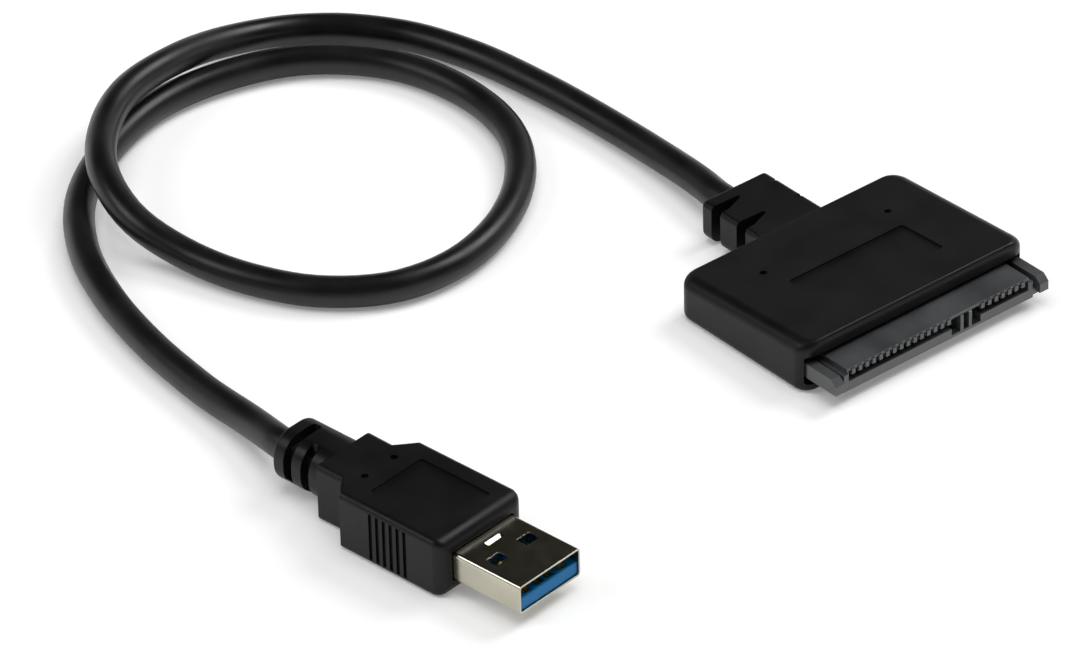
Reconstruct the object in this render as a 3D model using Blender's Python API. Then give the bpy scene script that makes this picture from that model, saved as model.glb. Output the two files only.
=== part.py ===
"""USB to SATA adapter cable.

A drive connector head and a USB plug joined by one round cord, in metres, +Z up.
The head lies on the floor with its mating face towards -Y, and the origin is under its middle.
"""
import math

import bmesh
import bpy
from mathutils import Matrix, Vector

MM = 0.001
TINY = 1e-6

# Gaps between pieces that touch
SEAT_GAP = 0.3 * MM
CONTACT_GAP = 0.12 * MM

# Drive head housing
HOUSING_WIDTH = 41.6 * MM
HOUSING_DEPTH = 27.0 * MM
HOUSING_HEIGHT = 8.3 * MM
HOUSING_BACK_HEIGHT = 6.8 * MM
HOUSING_CORNER = 1.6 * MM
HOUSING_TOP_ROUND = 2.0 * MM
HOUSING_BOTTOM_ROUND = 1.2 * MM
HOUSING_END_ROUND = 0.4 * MM
LABEL_WIDTH = 21.4 * MM
LABEL_DEPTH = 8.7 * MM
LABEL_SETBACK = 6.2 * MM
LABEL_SINK = 0.25 * MM
DIMPLE_DIAMETER = 1.1 * MM
DIMPLE_SINK = 0.5 * MM
HEAD_DIMPLE_OFFSET = 11.7 * MM
HEAD_DIMPLE_SETBACK = 19.0 * MM
POCKET_SIDE_WALL = 2.6 * MM
POCKET_BACK_WALL = 4.0 * MM
POCKET_LOW = 1.2 * MM
POCKET_HIGH = 5.6 * MM

# Strain relief moulded on the head housing
HEAD_BOOT_WIDTH = 11.7 * MM
HEAD_BOOT_LENGTH = 11.9 * MM
HEAD_BOOT_HEIGHT = 6.4 * MM
HEAD_BOOT_TOP_ROUND = 0.8 * MM
HEAD_BOOT_BOTTOM_ROUND = 2.8 * MM
HEAD_SLOT_WIDTH = 1.9 * MM
HEAD_SLOT_SETBACKS = (2.1 * MM, 7.5 * MM)
HEAD_SLOT_LEFT_DEPTH = 4.7 * MM
HEAD_SLOT_RIGHT_DEPTH = 1.9 * MM

# Drive receptacle: the standard row of 15 power and 7 signal contacts
CONTACT_PITCH = 1.27 * MM
POWER_CONTACTS = 15
SIGNAL_CONTACTS = 7
SEGMENT_STEP = 5 * CONTACT_PITCH
TONGUE_MARGIN = 0.95 * MM
KEY_REACH = 2.1 * MM
KEY_WIDTH = 1.65 * MM
KEY_FLOOR = 0.45 * MM
RECEPTACLE_LOW = 1.8 * MM
LIP_HEIGHT = 1.5 * MM
SLOT_HEIGHT = 1.9 * MM
CEILING_HEIGHT = 0.5 * MM
SLOT_DEPTH = 6.0 * MM
RECEPTACLE_END_WALL = 0.9 * MM
RECEPTACLE_REACH = 4.6 * MM
RECEPTACLE_INSET = 6.4 * MM
RECEPTACLE_STEP_WIDTH = 0.7 * MM
RECEPTACLE_STEP_DROP = 0.8 * MM
PARTING_GROOVE = 1.0 * MM
EAR_WIDTH = 1.6 * MM
EAR_GAP = 0.6 * MM
EAR_HEIGHT = 3.1 * MM
EAR_REACH = 5.4 * MM
EAR_LEAD_IN = 1.0 * MM
EAR_LEAD_DROP = 2.1 * MM
WING_HEIGHT = 0.9 * MM

# Drive contacts, bent from strip
CONTACT_WIDTH = 0.6 * MM
CONTACT_THICKNESS = 0.18 * MM
CONTACT_BOW = 1.15 * MM
CONTACT_SETBACK = 0.3 * MM
CONTACT_TAIL = 2.2 * MM
TAIL_SLIT_HEIGHT = 0.55 * MM

# Converter board
BOARD_THICKNESS = 1.0 * MM
BOARD_SIDE_GAP = 1.7 * MM
BOARD_DEPTH = 15.0 * MM
BRIDGE_CHIP_SIDE = 7.0 * MM
BRIDGE_CHIP_HEIGHT = 0.9 * MM
REGULATOR_SIZE = (3.2 * MM, 3.0 * MM, 1.1 * MM)
CRYSTAL_SIZE = (3.2 * MM, 2.5 * MM, 0.8 * MM)
CAPACITOR_SIZE = (2.0 * MM, 1.25 * MM, 1.0 * MM)
CAPACITOR_COUNT = 4
CAPACITOR_PITCH = 3.0 * MM

# Cord
CABLE_DIAMETER = 4.6 * MM
CABLE_STEP = 10.0 * MM
CABLE_LEAD = 3.0 * MM
CABLE_END_INSET = 7.0 * MM
CABLE_ROUTE_MM = (
    (0.9, 31.1, 3.3),
    (1.8, 41.2, 2.6),
    (1.9, 53.7, 2.3),
    (1.1, 66.3, 2.3),
    (-1.0, 79.8, 2.3),
    (-5.6, 91.5, 2.3),
    (-14.8, 101.3, 2.4),
    (-27.5, 104.1, 4.2),
    (-39.8, 101.7, 6.8),
    (-49.8, 98.8, 7.4),
    (-58.5, 92.6, 7.4),
    (-65.1, 83.7, 7.2),
    (-67.3, 73.9, 5.2),
    (-65.0, 64.3, 2.8),
    (-61.5, 54.0, 2.3),
    (-56.4, 45.7, 2.3),
    (-47.8, 39.6, 2.3),
    (-37.4, 38.5, 2.3),
    (-26.4, 42.1, 2.3),
    (-16.2, 49.9, 2.3),
    (-9.9, 59.9, 2.3),
    (-8.1, 72.1, 2.3),
    (-11.1, 84.7, 2.3),
    (-20.0, 94.7, 2.3),
    (-31.6, 99.1, 2.3),
    (-43.9, 99.4, 2.3),
    (-55.9, 95.0, 2.3),
    (-67.0, 87.1, 2.3),
    (-74.8, 76.3, 2.3),
    (-79.6, 64.0, 2.3),
    (-82.4, 50.8, 2.3),
    (-83.6, 37.9, 2.3),
    (-84.2, 26.1, 3.2),
)

# USB plug, measured from its mouth back along the plug
PLUG_POSITION = Vector((-78.7, -31.1, 0.0)) * MM
PLUG_TURN = math.radians(7.9)
SHELL_WIDTH = 12.0 * MM
SHELL_HEIGHT = 4.5 * MM
SHELL_SHEET = 0.3 * MM
SHELL_FREE_LENGTH = 12.0 * MM
SHELL_HIDDEN_LENGTH = 6.0 * MM
SHELL_CORNER = 0.5 * MM
WINDOW_WIDTH = 2.5 * MM
WINDOW_LENGTH = 2.0 * MM
WINDOW_OFFSET = 3.0 * MM
WINDOW_SETBACK = 6.8 * MM
TAB_SLOT_WIDTH = 3.1 * MM
TAB_SLOT_LENGTH = 0.8 * MM
TAB_SLOT_SETBACK = 10.4 * MM
TONGUE_THICKNESS = 1.85 * MM
TONGUE_SETBACK = 0.4 * MM
INSULATOR_BLOCK_LENGTH = 8.0 * MM
PLUG_WIDTH = 16.5 * MM
PLUG_HEIGHT = 9.1 * MM
PLUG_BODY_LENGTH = 18.6 * MM
PLUG_FRONT_ROUND = 1.4 * MM
FRONT_ROUND_STEPS = 4
PLUG_EDGE_ROUND = 0.7 * MM
PLUG_TAPER_LENGTH = 2.4 * MM
PLUG_NECK_WIDTH = 10.8 * MM
PLUG_NECK_LENGTH = 4.4 * MM
PLUG_PANEL_WIDTH = 10.2 * MM
PLUG_PANEL_LENGTH = 12.7 * MM
PLUG_PANEL_SETBACK = 3.1 * MM
PLUG_DIMPLE_OFFSET = 2.9 * MM
PLUG_DIMPLE_SETBACK = 18.8 * MM
GRIP_COUNT = 6
GRIP_PITCH = 1.25 * MM
GRIP_WIDTH = 0.6 * MM
GRIP_SINK = 0.4 * MM
GRIP_SETBACK = 6.7 * MM
GRIP_MARGIN = 0.8 * MM
PLUG_BOOT_WIDTH = 9.0 * MM
PLUG_BOOT_HEIGHT = 8.8 * MM
PLUG_BOOT_LENGTH = 8.5 * MM
PLUG_BOOT_ROUND = 2.9 * MM
PLUG_SLOT_WIDTH = 1.5 * MM
PLUG_SLOT_SETBACKS = (2.3 * MM, 5.9 * MM)
PLUG_SLOT_REACH = 2.0 * MM

# USB contacts
USB_FLAT_WIDTH = 1.2 * MM
USB_FLAT_THICKNESS = 0.2 * MM
USB_FLAT_OFFSETS = (-3.5 * MM, -1.0 * MM, 1.0 * MM, 3.5 * MM)
USB_FLAT_LENGTH = 7.0 * MM
USB_SPRING_WIDTH = 0.6 * MM
USB_SPRING_THICKNESS = 0.15 * MM
USB_SPRING_COUNT = 5
USB_SPRING_PITCH = 2.0 * MM
USB_SPRING_LENGTH = 3.0 * MM
USB_SPRING_BOW = 0.5 * MM

# Worked out from the sizes above
HEAD_LENGTH = EAR_REACH + HOUSING_DEPTH + HEAD_BOOT_LENGTH
HEAD_FRONT_Y = EAR_REACH - HEAD_LENGTH / 2
HEAD_BACK_Y = HEAD_FRONT_Y + HOUSING_DEPTH
HEAD_TAIL_Y = HEAD_BACK_Y + HEAD_BOOT_LENGTH
HEAD_CABLE_Z = HOUSING_BACK_HEIGHT - HEAD_BOOT_HEIGHT / 2
ROW_SPAN = (POWER_CONTACTS + SIGNAL_CONTACTS - 2) * CONTACT_PITCH + SEGMENT_STEP
POWER_X = -ROW_SPAN / 2
SIGNAL_X = ROW_SPAN / 2 - (SIGNAL_CONTACTS - 1) * CONTACT_PITCH
SLOT_LOW = RECEPTACLE_LOW + LIP_HEIGHT
SLOT_CEILING = SLOT_LOW + SLOT_HEIGHT
RECEPTACLE_HIGH = SLOT_CEILING + CEILING_HEIGHT
RECEPTACLE_HALF = ROW_SPAN / 2 + TONGUE_MARGIN + RECEPTACLE_END_WALL
EAR_HALF = RECEPTACLE_HALF + EAR_GAP + EAR_WIDTH
RECEPTACLE_FRONT_Y = HEAD_FRONT_Y - RECEPTACLE_REACH
RECEPTACLE_BACK_Y = HEAD_FRONT_Y + RECEPTACLE_INSET
BOARD_TOP_Z = SLOT_CEILING - CONTACT_GAP - CONTACT_THICKNESS - CONTACT_GAP
BOARD_FRONT_Y = RECEPTACLE_BACK_Y + SEAT_GAP
BOARD_WIDTH = HOUSING_WIDTH - 2 * (POCKET_SIDE_WALL + BOARD_SIDE_GAP)
PLUG_MID_Z = PLUG_HEIGHT / 2
SHELL_LOW = PLUG_MID_Z - SHELL_HEIGHT / 2
PLUG_FRONT_Y = SHELL_FREE_LENGTH
PLUG_NECK_Y = PLUG_FRONT_Y + PLUG_BODY_LENGTH + PLUG_TAPER_LENGTH
PLUG_COLLAR_Y = PLUG_NECK_Y + PLUG_NECK_LENGTH
PLUG_TAIL_Y = PLUG_COLLAR_Y + PLUG_BOOT_LENGTH
TONGUE_LOW = SHELL_LOW + SHELL_SHEET + CONTACT_GAP
TONGUE_HIGH = TONGUE_LOW + TONGUE_THICKNESS
BLOCK_END_Y = PLUG_FRONT_Y + SHELL_HIDDEN_LENGTH - SEAT_GAP
BLOCK_FRONT_Y = BLOCK_END_Y - INSULATOR_BLOCK_LENGTH


def clear_scene():
    for existing in list(bpy.data.objects):
        bpy.data.objects.remove(existing, do_unlink=True)


def make_material(name, colour, roughness, metallic=0.0):
    material = bpy.data.materials.new(name)
    material.use_nodes = True
    shader = material.node_tree.nodes["Principled BSDF"]
    shader.inputs["Base Color"].default_value = (*colour, 1.0)
    shader.inputs["Roughness"].default_value = roughness
    shader.inputs["Metallic"].default_value = metallic
    return material


def object_from(name, shape, material=None, parent=None):
    """Turns a bmesh into an object, with its normals outward and shaded smooth up to 40 degrees."""
    bmesh.ops.recalc_face_normals(shape, faces=shape.faces)
    mesh = bpy.data.meshes.new(name)
    shape.to_mesh(mesh)
    shape.free()
    mesh.shade_smooth()
    mesh.set_sharp_from_angle(angle=math.radians(40))
    made = bpy.data.objects.new(name, mesh)
    bpy.context.scene.collection.objects.link(made)
    made.parent = parent
    if material is not None:
        mesh.materials.append(material)
    return made


def prism(outline, start, end, axis):
    """Extrudes a closed outline along X, Y or Z. The outline gives the other two coordinates in order."""
    shape = bmesh.new()
    order = {"X": (2, 0, 1), "Y": (0, 2, 1), "Z": (0, 1, 2)}[axis]

    def place(first, second, along):
        values = (first, second, along)
        return Vector((values[order[0]], values[order[1]], values[order[2]]))

    corners = [shape.verts.new(place(*point, start)) for point in outline]
    face = shape.faces.new(corners)
    moved = bmesh.ops.extrude_face_region(shape, geom=[face])
    ends = [item for item in moved["geom"] if isinstance(item, bmesh.types.BMVert)]
    bmesh.ops.translate(shape, vec=place(0.0, 0.0, end - start), verts=ends)
    bmesh.ops.recalc_face_normals(shape, faces=shape.faces)
    return shape


def box(low, high):
    outline = ((low[0], low[1]), (high[0], low[1]), (high[0], high[1]), (low[0], high[1]))
    return prism(outline, low[2], high[2], "Z")


def rounded_rectangle(low, high, radii, steps=5):
    """Outline with its own radius at each corner: low-low, high-low, high-high, low-high."""
    centres = (
        (low[0] + radii[0], low[1] + radii[0], math.pi),
        (high[0] - radii[1], low[1] + radii[1], 1.5 * math.pi),
        (high[0] - radii[2], high[1] - radii[2], 0.0),
        (low[0] + radii[3], high[1] - radii[3], 0.5 * math.pi),
    )
    points = []
    for (x, y, angle), radius in zip(centres, radii):
        for step in range(steps + 1):
            turn = angle + 0.5 * math.pi * step / steps
            points.append((x + radius * math.cos(turn), y + radius * math.sin(turn)))
    return points


def round_edges(shape, wanted, radius, segments=3):
    """Bevels the edges for which wanted(edge) is true."""
    edges = [edge for edge in shape.edges if wanted(edge)]
    bmesh.ops.bevel(
        shape,
        geom=edges,
        offset=radius,
        segments=segments,
        profile=0.5,
        affect="EDGES",
        clamp_overlap=True,
    )


def around_end(*ends):
    """Chooses the edges that lie in a plane across Y at one of these places."""

    def wanted(edge):
        return any(
            all(abs(vert.co.y - end) < TINY for vert in edge.verts) for end in ends
        )

    return wanted


def loft(sections):
    """Skins closed outlines of the same number of points, each given with its own place along Y."""
    shape = bmesh.new()
    rings = [
        [shape.verts.new((x, along, z)) for x, z in outline] for along, outline in sections
    ]
    for first, second in zip(rings, rings[1:]):
        for index, corner in enumerate(first):
            before = index - 1
            shape.faces.new((first[before], corner, second[index], second[before]))
    shape.faces.new(rings[0])
    shape.faces.new(rings[-1])
    return shape


def as_cutter(name, shape, parent=None):
    cutter = object_from(name, shape, parent=parent)
    cutter.hide_render = True
    cutter.display_type = "WIRE"
    return cutter


def boolean(target, tool, operation):
    modifier = target.modifiers.new(tool.name, "BOOLEAN")
    modifier.operation = operation
    modifier.object = tool
    modifier.solver = "EXACT"


def cut(target, name, shape):
    boolean(target, as_cutter(name, shape, target.parent), "DIFFERENCE")


def join(target, name, shape):
    boolean(target, as_cutter(name, shape, target.parent), "UNION")


def cylinder(radius, low, high, centre, steps=16, axis="Z"):
    outline = [
        (
            centre[0] + radius * math.cos(2 * math.pi * step / steps),
            centre[1] + radius * math.sin(2 * math.pi * step / steps),
        )
        for step in range(steps)
    ]
    return prism(outline, low, high, axis)


def strip_outline(centre_line, thickness):
    """Outline of a bent strip: the centre line offset by half its thickness to each side."""
    left = []
    right = []
    for index, point in enumerate(centre_line):
        before = centre_line[max(index - 1, 0)]
        after = centre_line[min(index + 1, len(centre_line) - 1)]
        along = Vector((after[0] - before[0], after[1] - before[1])).normalized()
        side = Vector((-along.y, along.x)) * thickness / 2
        left.append((point[0] + side.x, point[1] + side.y))
        right.append((point[0] - side.x, point[1] - side.y))
    return left + right[::-1]


def head_boot_slots(overmold):
    """Cuts the two pairs of side slots that let the strain relief bend."""
    half = HEAD_BOOT_WIDTH / 2
    for number, setback in enumerate(HEAD_SLOT_SETBACKS, start=1):
        front = HEAD_TAIL_Y - setback - HEAD_SLOT_WIDTH
        back = HEAD_TAIL_Y - setback
        low = -HOUSING_HEIGHT
        high = 2 * HOUSING_HEIGHT
        left = box((-half - SEAT_GAP, front, low), (-half + HEAD_SLOT_LEFT_DEPTH, back, high))
        right = box((half - HEAD_SLOT_RIGHT_DEPTH, front, low), (half + SEAT_GAP, back, high))
        cut(overmold, f"head_left_slot_{number}", left)
        cut(overmold, f"head_right_slot_{number}", right)


def top_height(y):
    """Height of the housing's top, which slopes down from its front to its back."""
    share = (y - HEAD_FRONT_Y) / HOUSING_DEPTH
    return HOUSING_HEIGHT + (HOUSING_BACK_HEIGHT - HOUSING_HEIGHT) * share


def make_sata_overmold(material):
    """Housing and strain relief of the drive head, moulded in one piece round the board."""
    half = HOUSING_WIDTH / 2
    section = rounded_rectangle(
        (-half, 0.0),
        (half, HOUSING_HEIGHT),
        (HOUSING_BOTTOM_ROUND,) * 2 + (HOUSING_TOP_ROUND,) * 2,
    )
    shape = prism(section, HEAD_FRONT_Y, HEAD_BACK_Y, "Y")
    round_edges(shape, around_end(HEAD_FRONT_Y, HEAD_BACK_Y), HOUSING_END_ROUND, 2)
    for vert in shape.verts:
        if vert.co.z > HOUSING_HEIGHT / 2:
            vert.co.z += top_height(vert.co.y) - HOUSING_HEIGHT
    overmold = object_from("sata_overmold", shape, material)
    plan = rounded_rectangle(
        (-half, HEAD_FRONT_Y), (half, HEAD_BACK_Y), (HOUSING_CORNER,) * 4
    )
    rounded = as_cutter("head_plan", prism(plan, -SEAT_GAP, HOUSING_HEIGHT + SEAT_GAP, "Z"))
    boolean(overmold, rounded, "INTERSECT")
    boot = rounded_rectangle(
        (-HEAD_BOOT_WIDTH / 2, HOUSING_BACK_HEIGHT - HEAD_BOOT_HEIGHT),
        (HEAD_BOOT_WIDTH / 2, HOUSING_BACK_HEIGHT),
        (HEAD_BOOT_BOTTOM_ROUND,) * 2 + (HEAD_BOOT_TOP_ROUND,) * 2,
    )
    boot_root_y = HEAD_BACK_Y - POCKET_BACK_WALL / 2
    join(overmold, "head_boot", prism(boot, boot_root_y, HEAD_TAIL_Y, "Y"))
    head_boot_slots(overmold)
    pocket_half = half - POCKET_SIDE_WALL
    pocket = box(
        (-pocket_half, RECEPTACLE_BACK_Y, POCKET_LOW),
        (pocket_half, HEAD_BACK_Y - POCKET_BACK_WALL, POCKET_HIGH),
    )
    cut(overmold, "head_pocket", pocket)
    mouth_half = EAR_HALF + SEAT_GAP
    mouth = box(
        (-mouth_half, HEAD_FRONT_Y - SEAT_GAP, RECEPTACLE_LOW - SEAT_GAP),
        (mouth_half, RECEPTACLE_BACK_Y + SEAT_GAP, RECEPTACLE_HIGH + SEAT_GAP),
    )
    cut(overmold, "head_mouth", mouth)
    bore_radius = CABLE_DIAMETER / 2 + CONTACT_GAP
    bore = cylinder(
        bore_radius,
        HEAD_BACK_Y - POCKET_BACK_WALL - SEAT_GAP,
        HEAD_TAIL_Y + SEAT_GAP,
        (0.0, HEAD_CABLE_Z),
        24,
        "Y",
    )
    cut(overmold, "head_cable_bore", bore)
    label_front = HEAD_FRONT_Y + LABEL_SETBACK
    label_back = label_front + LABEL_DEPTH
    label = (
        (label_front, top_height(label_front) - LABEL_SINK),
        (label_back, top_height(label_back) - LABEL_SINK),
        (label_back, top_height(label_back) + LABEL_SINK),
        (label_front, top_height(label_front) + LABEL_SINK),
    )
    recess = prism(label, -LABEL_WIDTH / 2, LABEL_WIDTH / 2, "X")
    cut(overmold, "head_label_recess", recess)
    dimple_y = HEAD_FRONT_Y + HEAD_DIMPLE_SETBACK
    surface = top_height(dimple_y)
    for side in (-1, 1):
        dimple = cylinder(
            DIMPLE_DIAMETER / 2,
            surface - DIMPLE_SINK,
            surface + DIMPLE_SINK,
            (side * HEAD_DIMPLE_OFFSET, dimple_y),
        )
        cut(overmold, f"head_dimple_{'left' if side < 0 else 'right'}", dimple)


def receptacle_outline():
    """Front outline of the receptacle: low wings, ears at both ends and the stepped slot body."""
    step_x = RECEPTACLE_HALF - RECEPTACLE_STEP_WIDTH
    step_z = RECEPTACLE_HIGH - RECEPTACLE_STEP_DROP
    ear_inner = EAR_HALF - EAR_WIDTH
    ear_top = RECEPTACLE_LOW + EAR_HEIGHT
    wing_top = RECEPTACLE_LOW + WING_HEIGHT
    right = [
        (EAR_HALF, RECEPTACLE_LOW),
        (EAR_HALF, ear_top),
        (ear_inner, ear_top),
        (ear_inner, wing_top),
        (RECEPTACLE_HALF, wing_top),
        (RECEPTACLE_HALF, step_z),
        (step_x, step_z),
        (step_x, RECEPTACLE_HIGH),
    ]
    left = [(-x, z) for x, z in reversed(right)]
    return right + left


def segment_ends():
    """(low X, high X, key low X, key high X) of the power slot and of the signal slot."""
    power_high = POWER_X + (POWER_CONTACTS - 1) * CONTACT_PITCH + KEY_REACH
    signal_low = SIGNAL_X - KEY_REACH
    return (
        (POWER_X - TONGUE_MARGIN, power_high, power_high - KEY_WIDTH, power_high),
        (signal_low, ROW_SPAN / 2 + TONGUE_MARGIN, signal_low, signal_low + KEY_WIDTH),
    )


def cut_tongue_slots(receptacle):
    """Cuts each L-shaped slot, and the slit behind it that the contact tails leave through."""
    front = RECEPTACLE_FRONT_Y - SEAT_GAP
    back = RECEPTACLE_FRONT_Y + SLOT_DEPTH
    for name, ends in zip(("power", "signal"), segment_ends()):
        low, high, key_low, key_high = ends
        key_z = RECEPTACLE_LOW + KEY_FLOOR
        outline = [(low, SLOT_LOW), (key_low, SLOT_LOW), (key_low, key_z), (key_high, key_z)]
        if name == "signal":
            outline = [(key_low, key_z), (key_high, key_z), (key_high, SLOT_LOW), (high, SLOT_LOW)]
        outline += [(high, SLOT_CEILING), (low, SLOT_CEILING)]
        cut(receptacle, f"{name}_slot", prism(outline, front, back, "Y"))
        slit = box(
            (low, back - SEAT_GAP, SLOT_CEILING - TAIL_SLIT_HEIGHT),
            (high, RECEPTACLE_BACK_Y + SEAT_GAP, SLOT_CEILING),
        )
        cut(receptacle, f"{name}_tail_slit", slit)


def trim_ears(receptacle):
    """Sets the slot body back from the ear tips and slopes the tips down as a lead-in."""
    tip = HEAD_FRONT_Y - EAR_REACH
    inner = EAR_HALF - EAR_WIDTH
    body = box((-inner, tip - SEAT_GAP, 0.0), (inner, RECEPTACLE_FRONT_Y, HOUSING_HEIGHT))
    cut(receptacle, "body_setback", body)
    top = RECEPTACLE_LOW + EAR_HEIGHT
    slope = (
        (tip - EAR_LEAD_IN, top - 2 * EAR_LEAD_DROP),
        (tip + EAR_LEAD_IN, top),
        (tip + EAR_LEAD_IN, top + EAR_LEAD_DROP),
        (tip - EAR_LEAD_IN, top + EAR_LEAD_DROP),
    )
    cut(receptacle, "ear_lead_in", prism(slope, -2 * EAR_HALF, 2 * EAR_HALF, "X"))


def make_sata_receptacle(material):
    tip = HEAD_FRONT_Y - EAR_REACH
    shape = prism(receptacle_outline(), tip, RECEPTACLE_BACK_Y, "Y")
    receptacle = object_from("sata_receptacle", shape, material)
    trim_ears(receptacle)
    cut_tongue_slots(receptacle)
    power, signal = segment_ends()
    middle = (power[1] + signal[0]) / 2
    groove = box(
        (middle - PARTING_GROOVE / 2, RECEPTACLE_FRONT_Y - SEAT_GAP, RECEPTACLE_LOW + KEY_FLOOR),
        (middle + PARTING_GROOVE / 2, RECEPTACLE_FRONT_Y + SLOT_DEPTH, SLOT_CEILING),
    )
    cut(receptacle, "parting_groove", groove)


def contact_centre_line():
    """Side view of one drive contact: tail on the board, flat run and the bow that presses the blade."""
    flat_z = SLOT_CEILING - CONTACT_GAP - CONTACT_THICKNESS / 2
    nose_y = RECEPTACLE_FRONT_Y + CONTACT_SETBACK
    bow_z = flat_z - CONTACT_BOW + CONTACT_THICKNESS
    return (
        (BOARD_FRONT_Y + CONTACT_TAIL, flat_z),
        (RECEPTACLE_BACK_Y, flat_z),
        (nose_y + SLOT_DEPTH * 0.65, flat_z),
        (nose_y + SLOT_DEPTH * 0.3, (flat_z + bow_z) / 2),
        (nose_y + SLOT_DEPTH * 0.14, bow_z),
        (nose_y + SLOT_DEPTH * 0.06, bow_z),
        (nose_y, flat_z - CONTACT_THICKNESS),
    )


def make_drive_contacts(material):
    outline = strip_outline(contact_centre_line(), CONTACT_THICKNESS)
    rows = (("power", POWER_CONTACTS, POWER_X), ("signal", SIGNAL_CONTACTS, SIGNAL_X))
    for name, count, first_x in rows:
        for index in range(count):
            x = first_x + index * CONTACT_PITCH
            shape = prism(outline, x - CONTACT_WIDTH / 2, x + CONTACT_WIDTH / 2, "X")
            number = count - index
            object_from(f"{name}_contact_{number}", shape, material)


def on_board(name, size, x, setback, material):
    """Seats a component on the board's lower face, with its front at this setback from the board's."""
    top = BOARD_TOP_Z - BOARD_THICKNESS - CONTACT_GAP
    low_y = BOARD_FRONT_Y + setback
    shape = box((x - size[0] / 2, low_y, top - size[2]), (x + size[0] / 2, low_y + size[1], top))
    object_from(name, shape, material)


def make_board(materials):
    board = box(
        (-BOARD_WIDTH / 2, BOARD_FRONT_Y, BOARD_TOP_Z - BOARD_THICKNESS),
        (BOARD_WIDTH / 2, BOARD_FRONT_Y + BOARD_DEPTH, BOARD_TOP_Z),
    )
    object_from("circuit_board", board, materials["board"])
    chip = (BRIDGE_CHIP_SIDE, BRIDGE_CHIP_SIDE, BRIDGE_CHIP_HEIGHT)
    edge = 2 * CONTACT_PITCH
    on_board("bridge_chip", chip, 0.0, edge, materials["chip"])
    crystal_x = BRIDGE_CHIP_SIDE / 2 + CRYSTAL_SIZE[0]
    on_board("clock_crystal", CRYSTAL_SIZE, crystal_x, edge, materials["metal"])
    regulator_x = -BRIDGE_CHIP_SIDE / 2 - REGULATOR_SIZE[0]
    on_board("voltage_regulator", REGULATOR_SIZE, regulator_x, edge, materials["chip"])
    for index in range(CAPACITOR_COUNT):
        x = (index - (CAPACITOR_COUNT - 1) / 2) * CAPACITOR_PITCH
        setback = edge + BRIDGE_CHIP_SIDE + CAPACITOR_SIZE[1]
        on_board(f"capacitor_{index + 1}", CAPACITOR_SIZE, x, setback, materials["ceramic"])


def plug_section(half_width, inset):
    """Outline of the plug across its length, drawn in on every side by the inset."""
    half = half_width - inset
    return rounded_rectangle(
        (-half, inset), (half, PLUG_HEIGHT - inset), (PLUG_EDGE_ROUND,) * 4, 3
    )


def plug_sections():
    """Outlines from the rounded front edge over the grip and the taper to the neck's end."""
    half = PLUG_WIDTH / 2
    neck = PLUG_NECK_WIDTH / 2
    sections = []
    for step in range(FRONT_ROUND_STEPS + 1):
        turn = 0.5 * math.pi * step / FRONT_ROUND_STEPS
        y = PLUG_FRONT_Y + PLUG_FRONT_ROUND * (1 - math.cos(turn))
        inset = PLUG_FRONT_ROUND * (1 - math.sin(turn))
        sections.append((y, plug_section(half, inset)))
    sections.append((PLUG_FRONT_Y + PLUG_BODY_LENGTH, plug_section(half, 0.0)))
    sections.append((PLUG_NECK_Y, plug_section(neck, 0.0)))
    sections.append((PLUG_COLLAR_Y, plug_section(neck, 0.0)))
    return sections


def cut_grip_grooves(overmold):
    for side in (-1, 1):
        for index in range(GRIP_COUNT):
            y = PLUG_FRONT_Y + GRIP_SETBACK + index * GRIP_PITCH
            inner = side * (PLUG_WIDTH / 2 - GRIP_SINK)
            outer = side * (PLUG_WIDTH / 2 + GRIP_SINK)
            groove = box(
                (min(inner, outer), y - GRIP_WIDTH / 2, GRIP_MARGIN),
                (max(inner, outer), y + GRIP_WIDTH / 2, PLUG_HEIGHT - GRIP_MARGIN),
            )
            name = "left" if side < 0 else "right"
            cut(overmold, f"{name}_grip_groove_{index + 1}", groove)


def cut_plug_boot_slots(overmold):
    """Cuts staggered slots, the rear one from past the middle and the front one from the left side."""
    half = PLUG_BOOT_WIDTH / 2 + SEAT_GAP
    reaches = (PLUG_SLOT_REACH, -PLUG_SLOT_REACH)
    for number, (setback, reach) in enumerate(zip(PLUG_SLOT_SETBACKS, reaches), start=1):
        front = PLUG_TAIL_Y - setback - PLUG_SLOT_WIDTH
        back = PLUG_TAIL_Y - setback
        core = CABLE_DIAMETER / 2 + 2 * SEAT_GAP
        left = box((-2 * half, front, -PLUG_HEIGHT), (-core, back, 2 * PLUG_HEIGHT))
        cut(overmold, f"plug_left_slot_{number}", left)
        top = box((-half, front, PLUG_MID_Z + core), (reach, back, 2 * PLUG_HEIGHT))
        cut(overmold, f"plug_top_slot_{number}", top)
        right = box((core + SEAT_GAP, front, -PLUG_HEIGHT), (2 * half, back, PLUG_MID_Z))
        cut(overmold, f"plug_right_slot_{number}", right)


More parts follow.
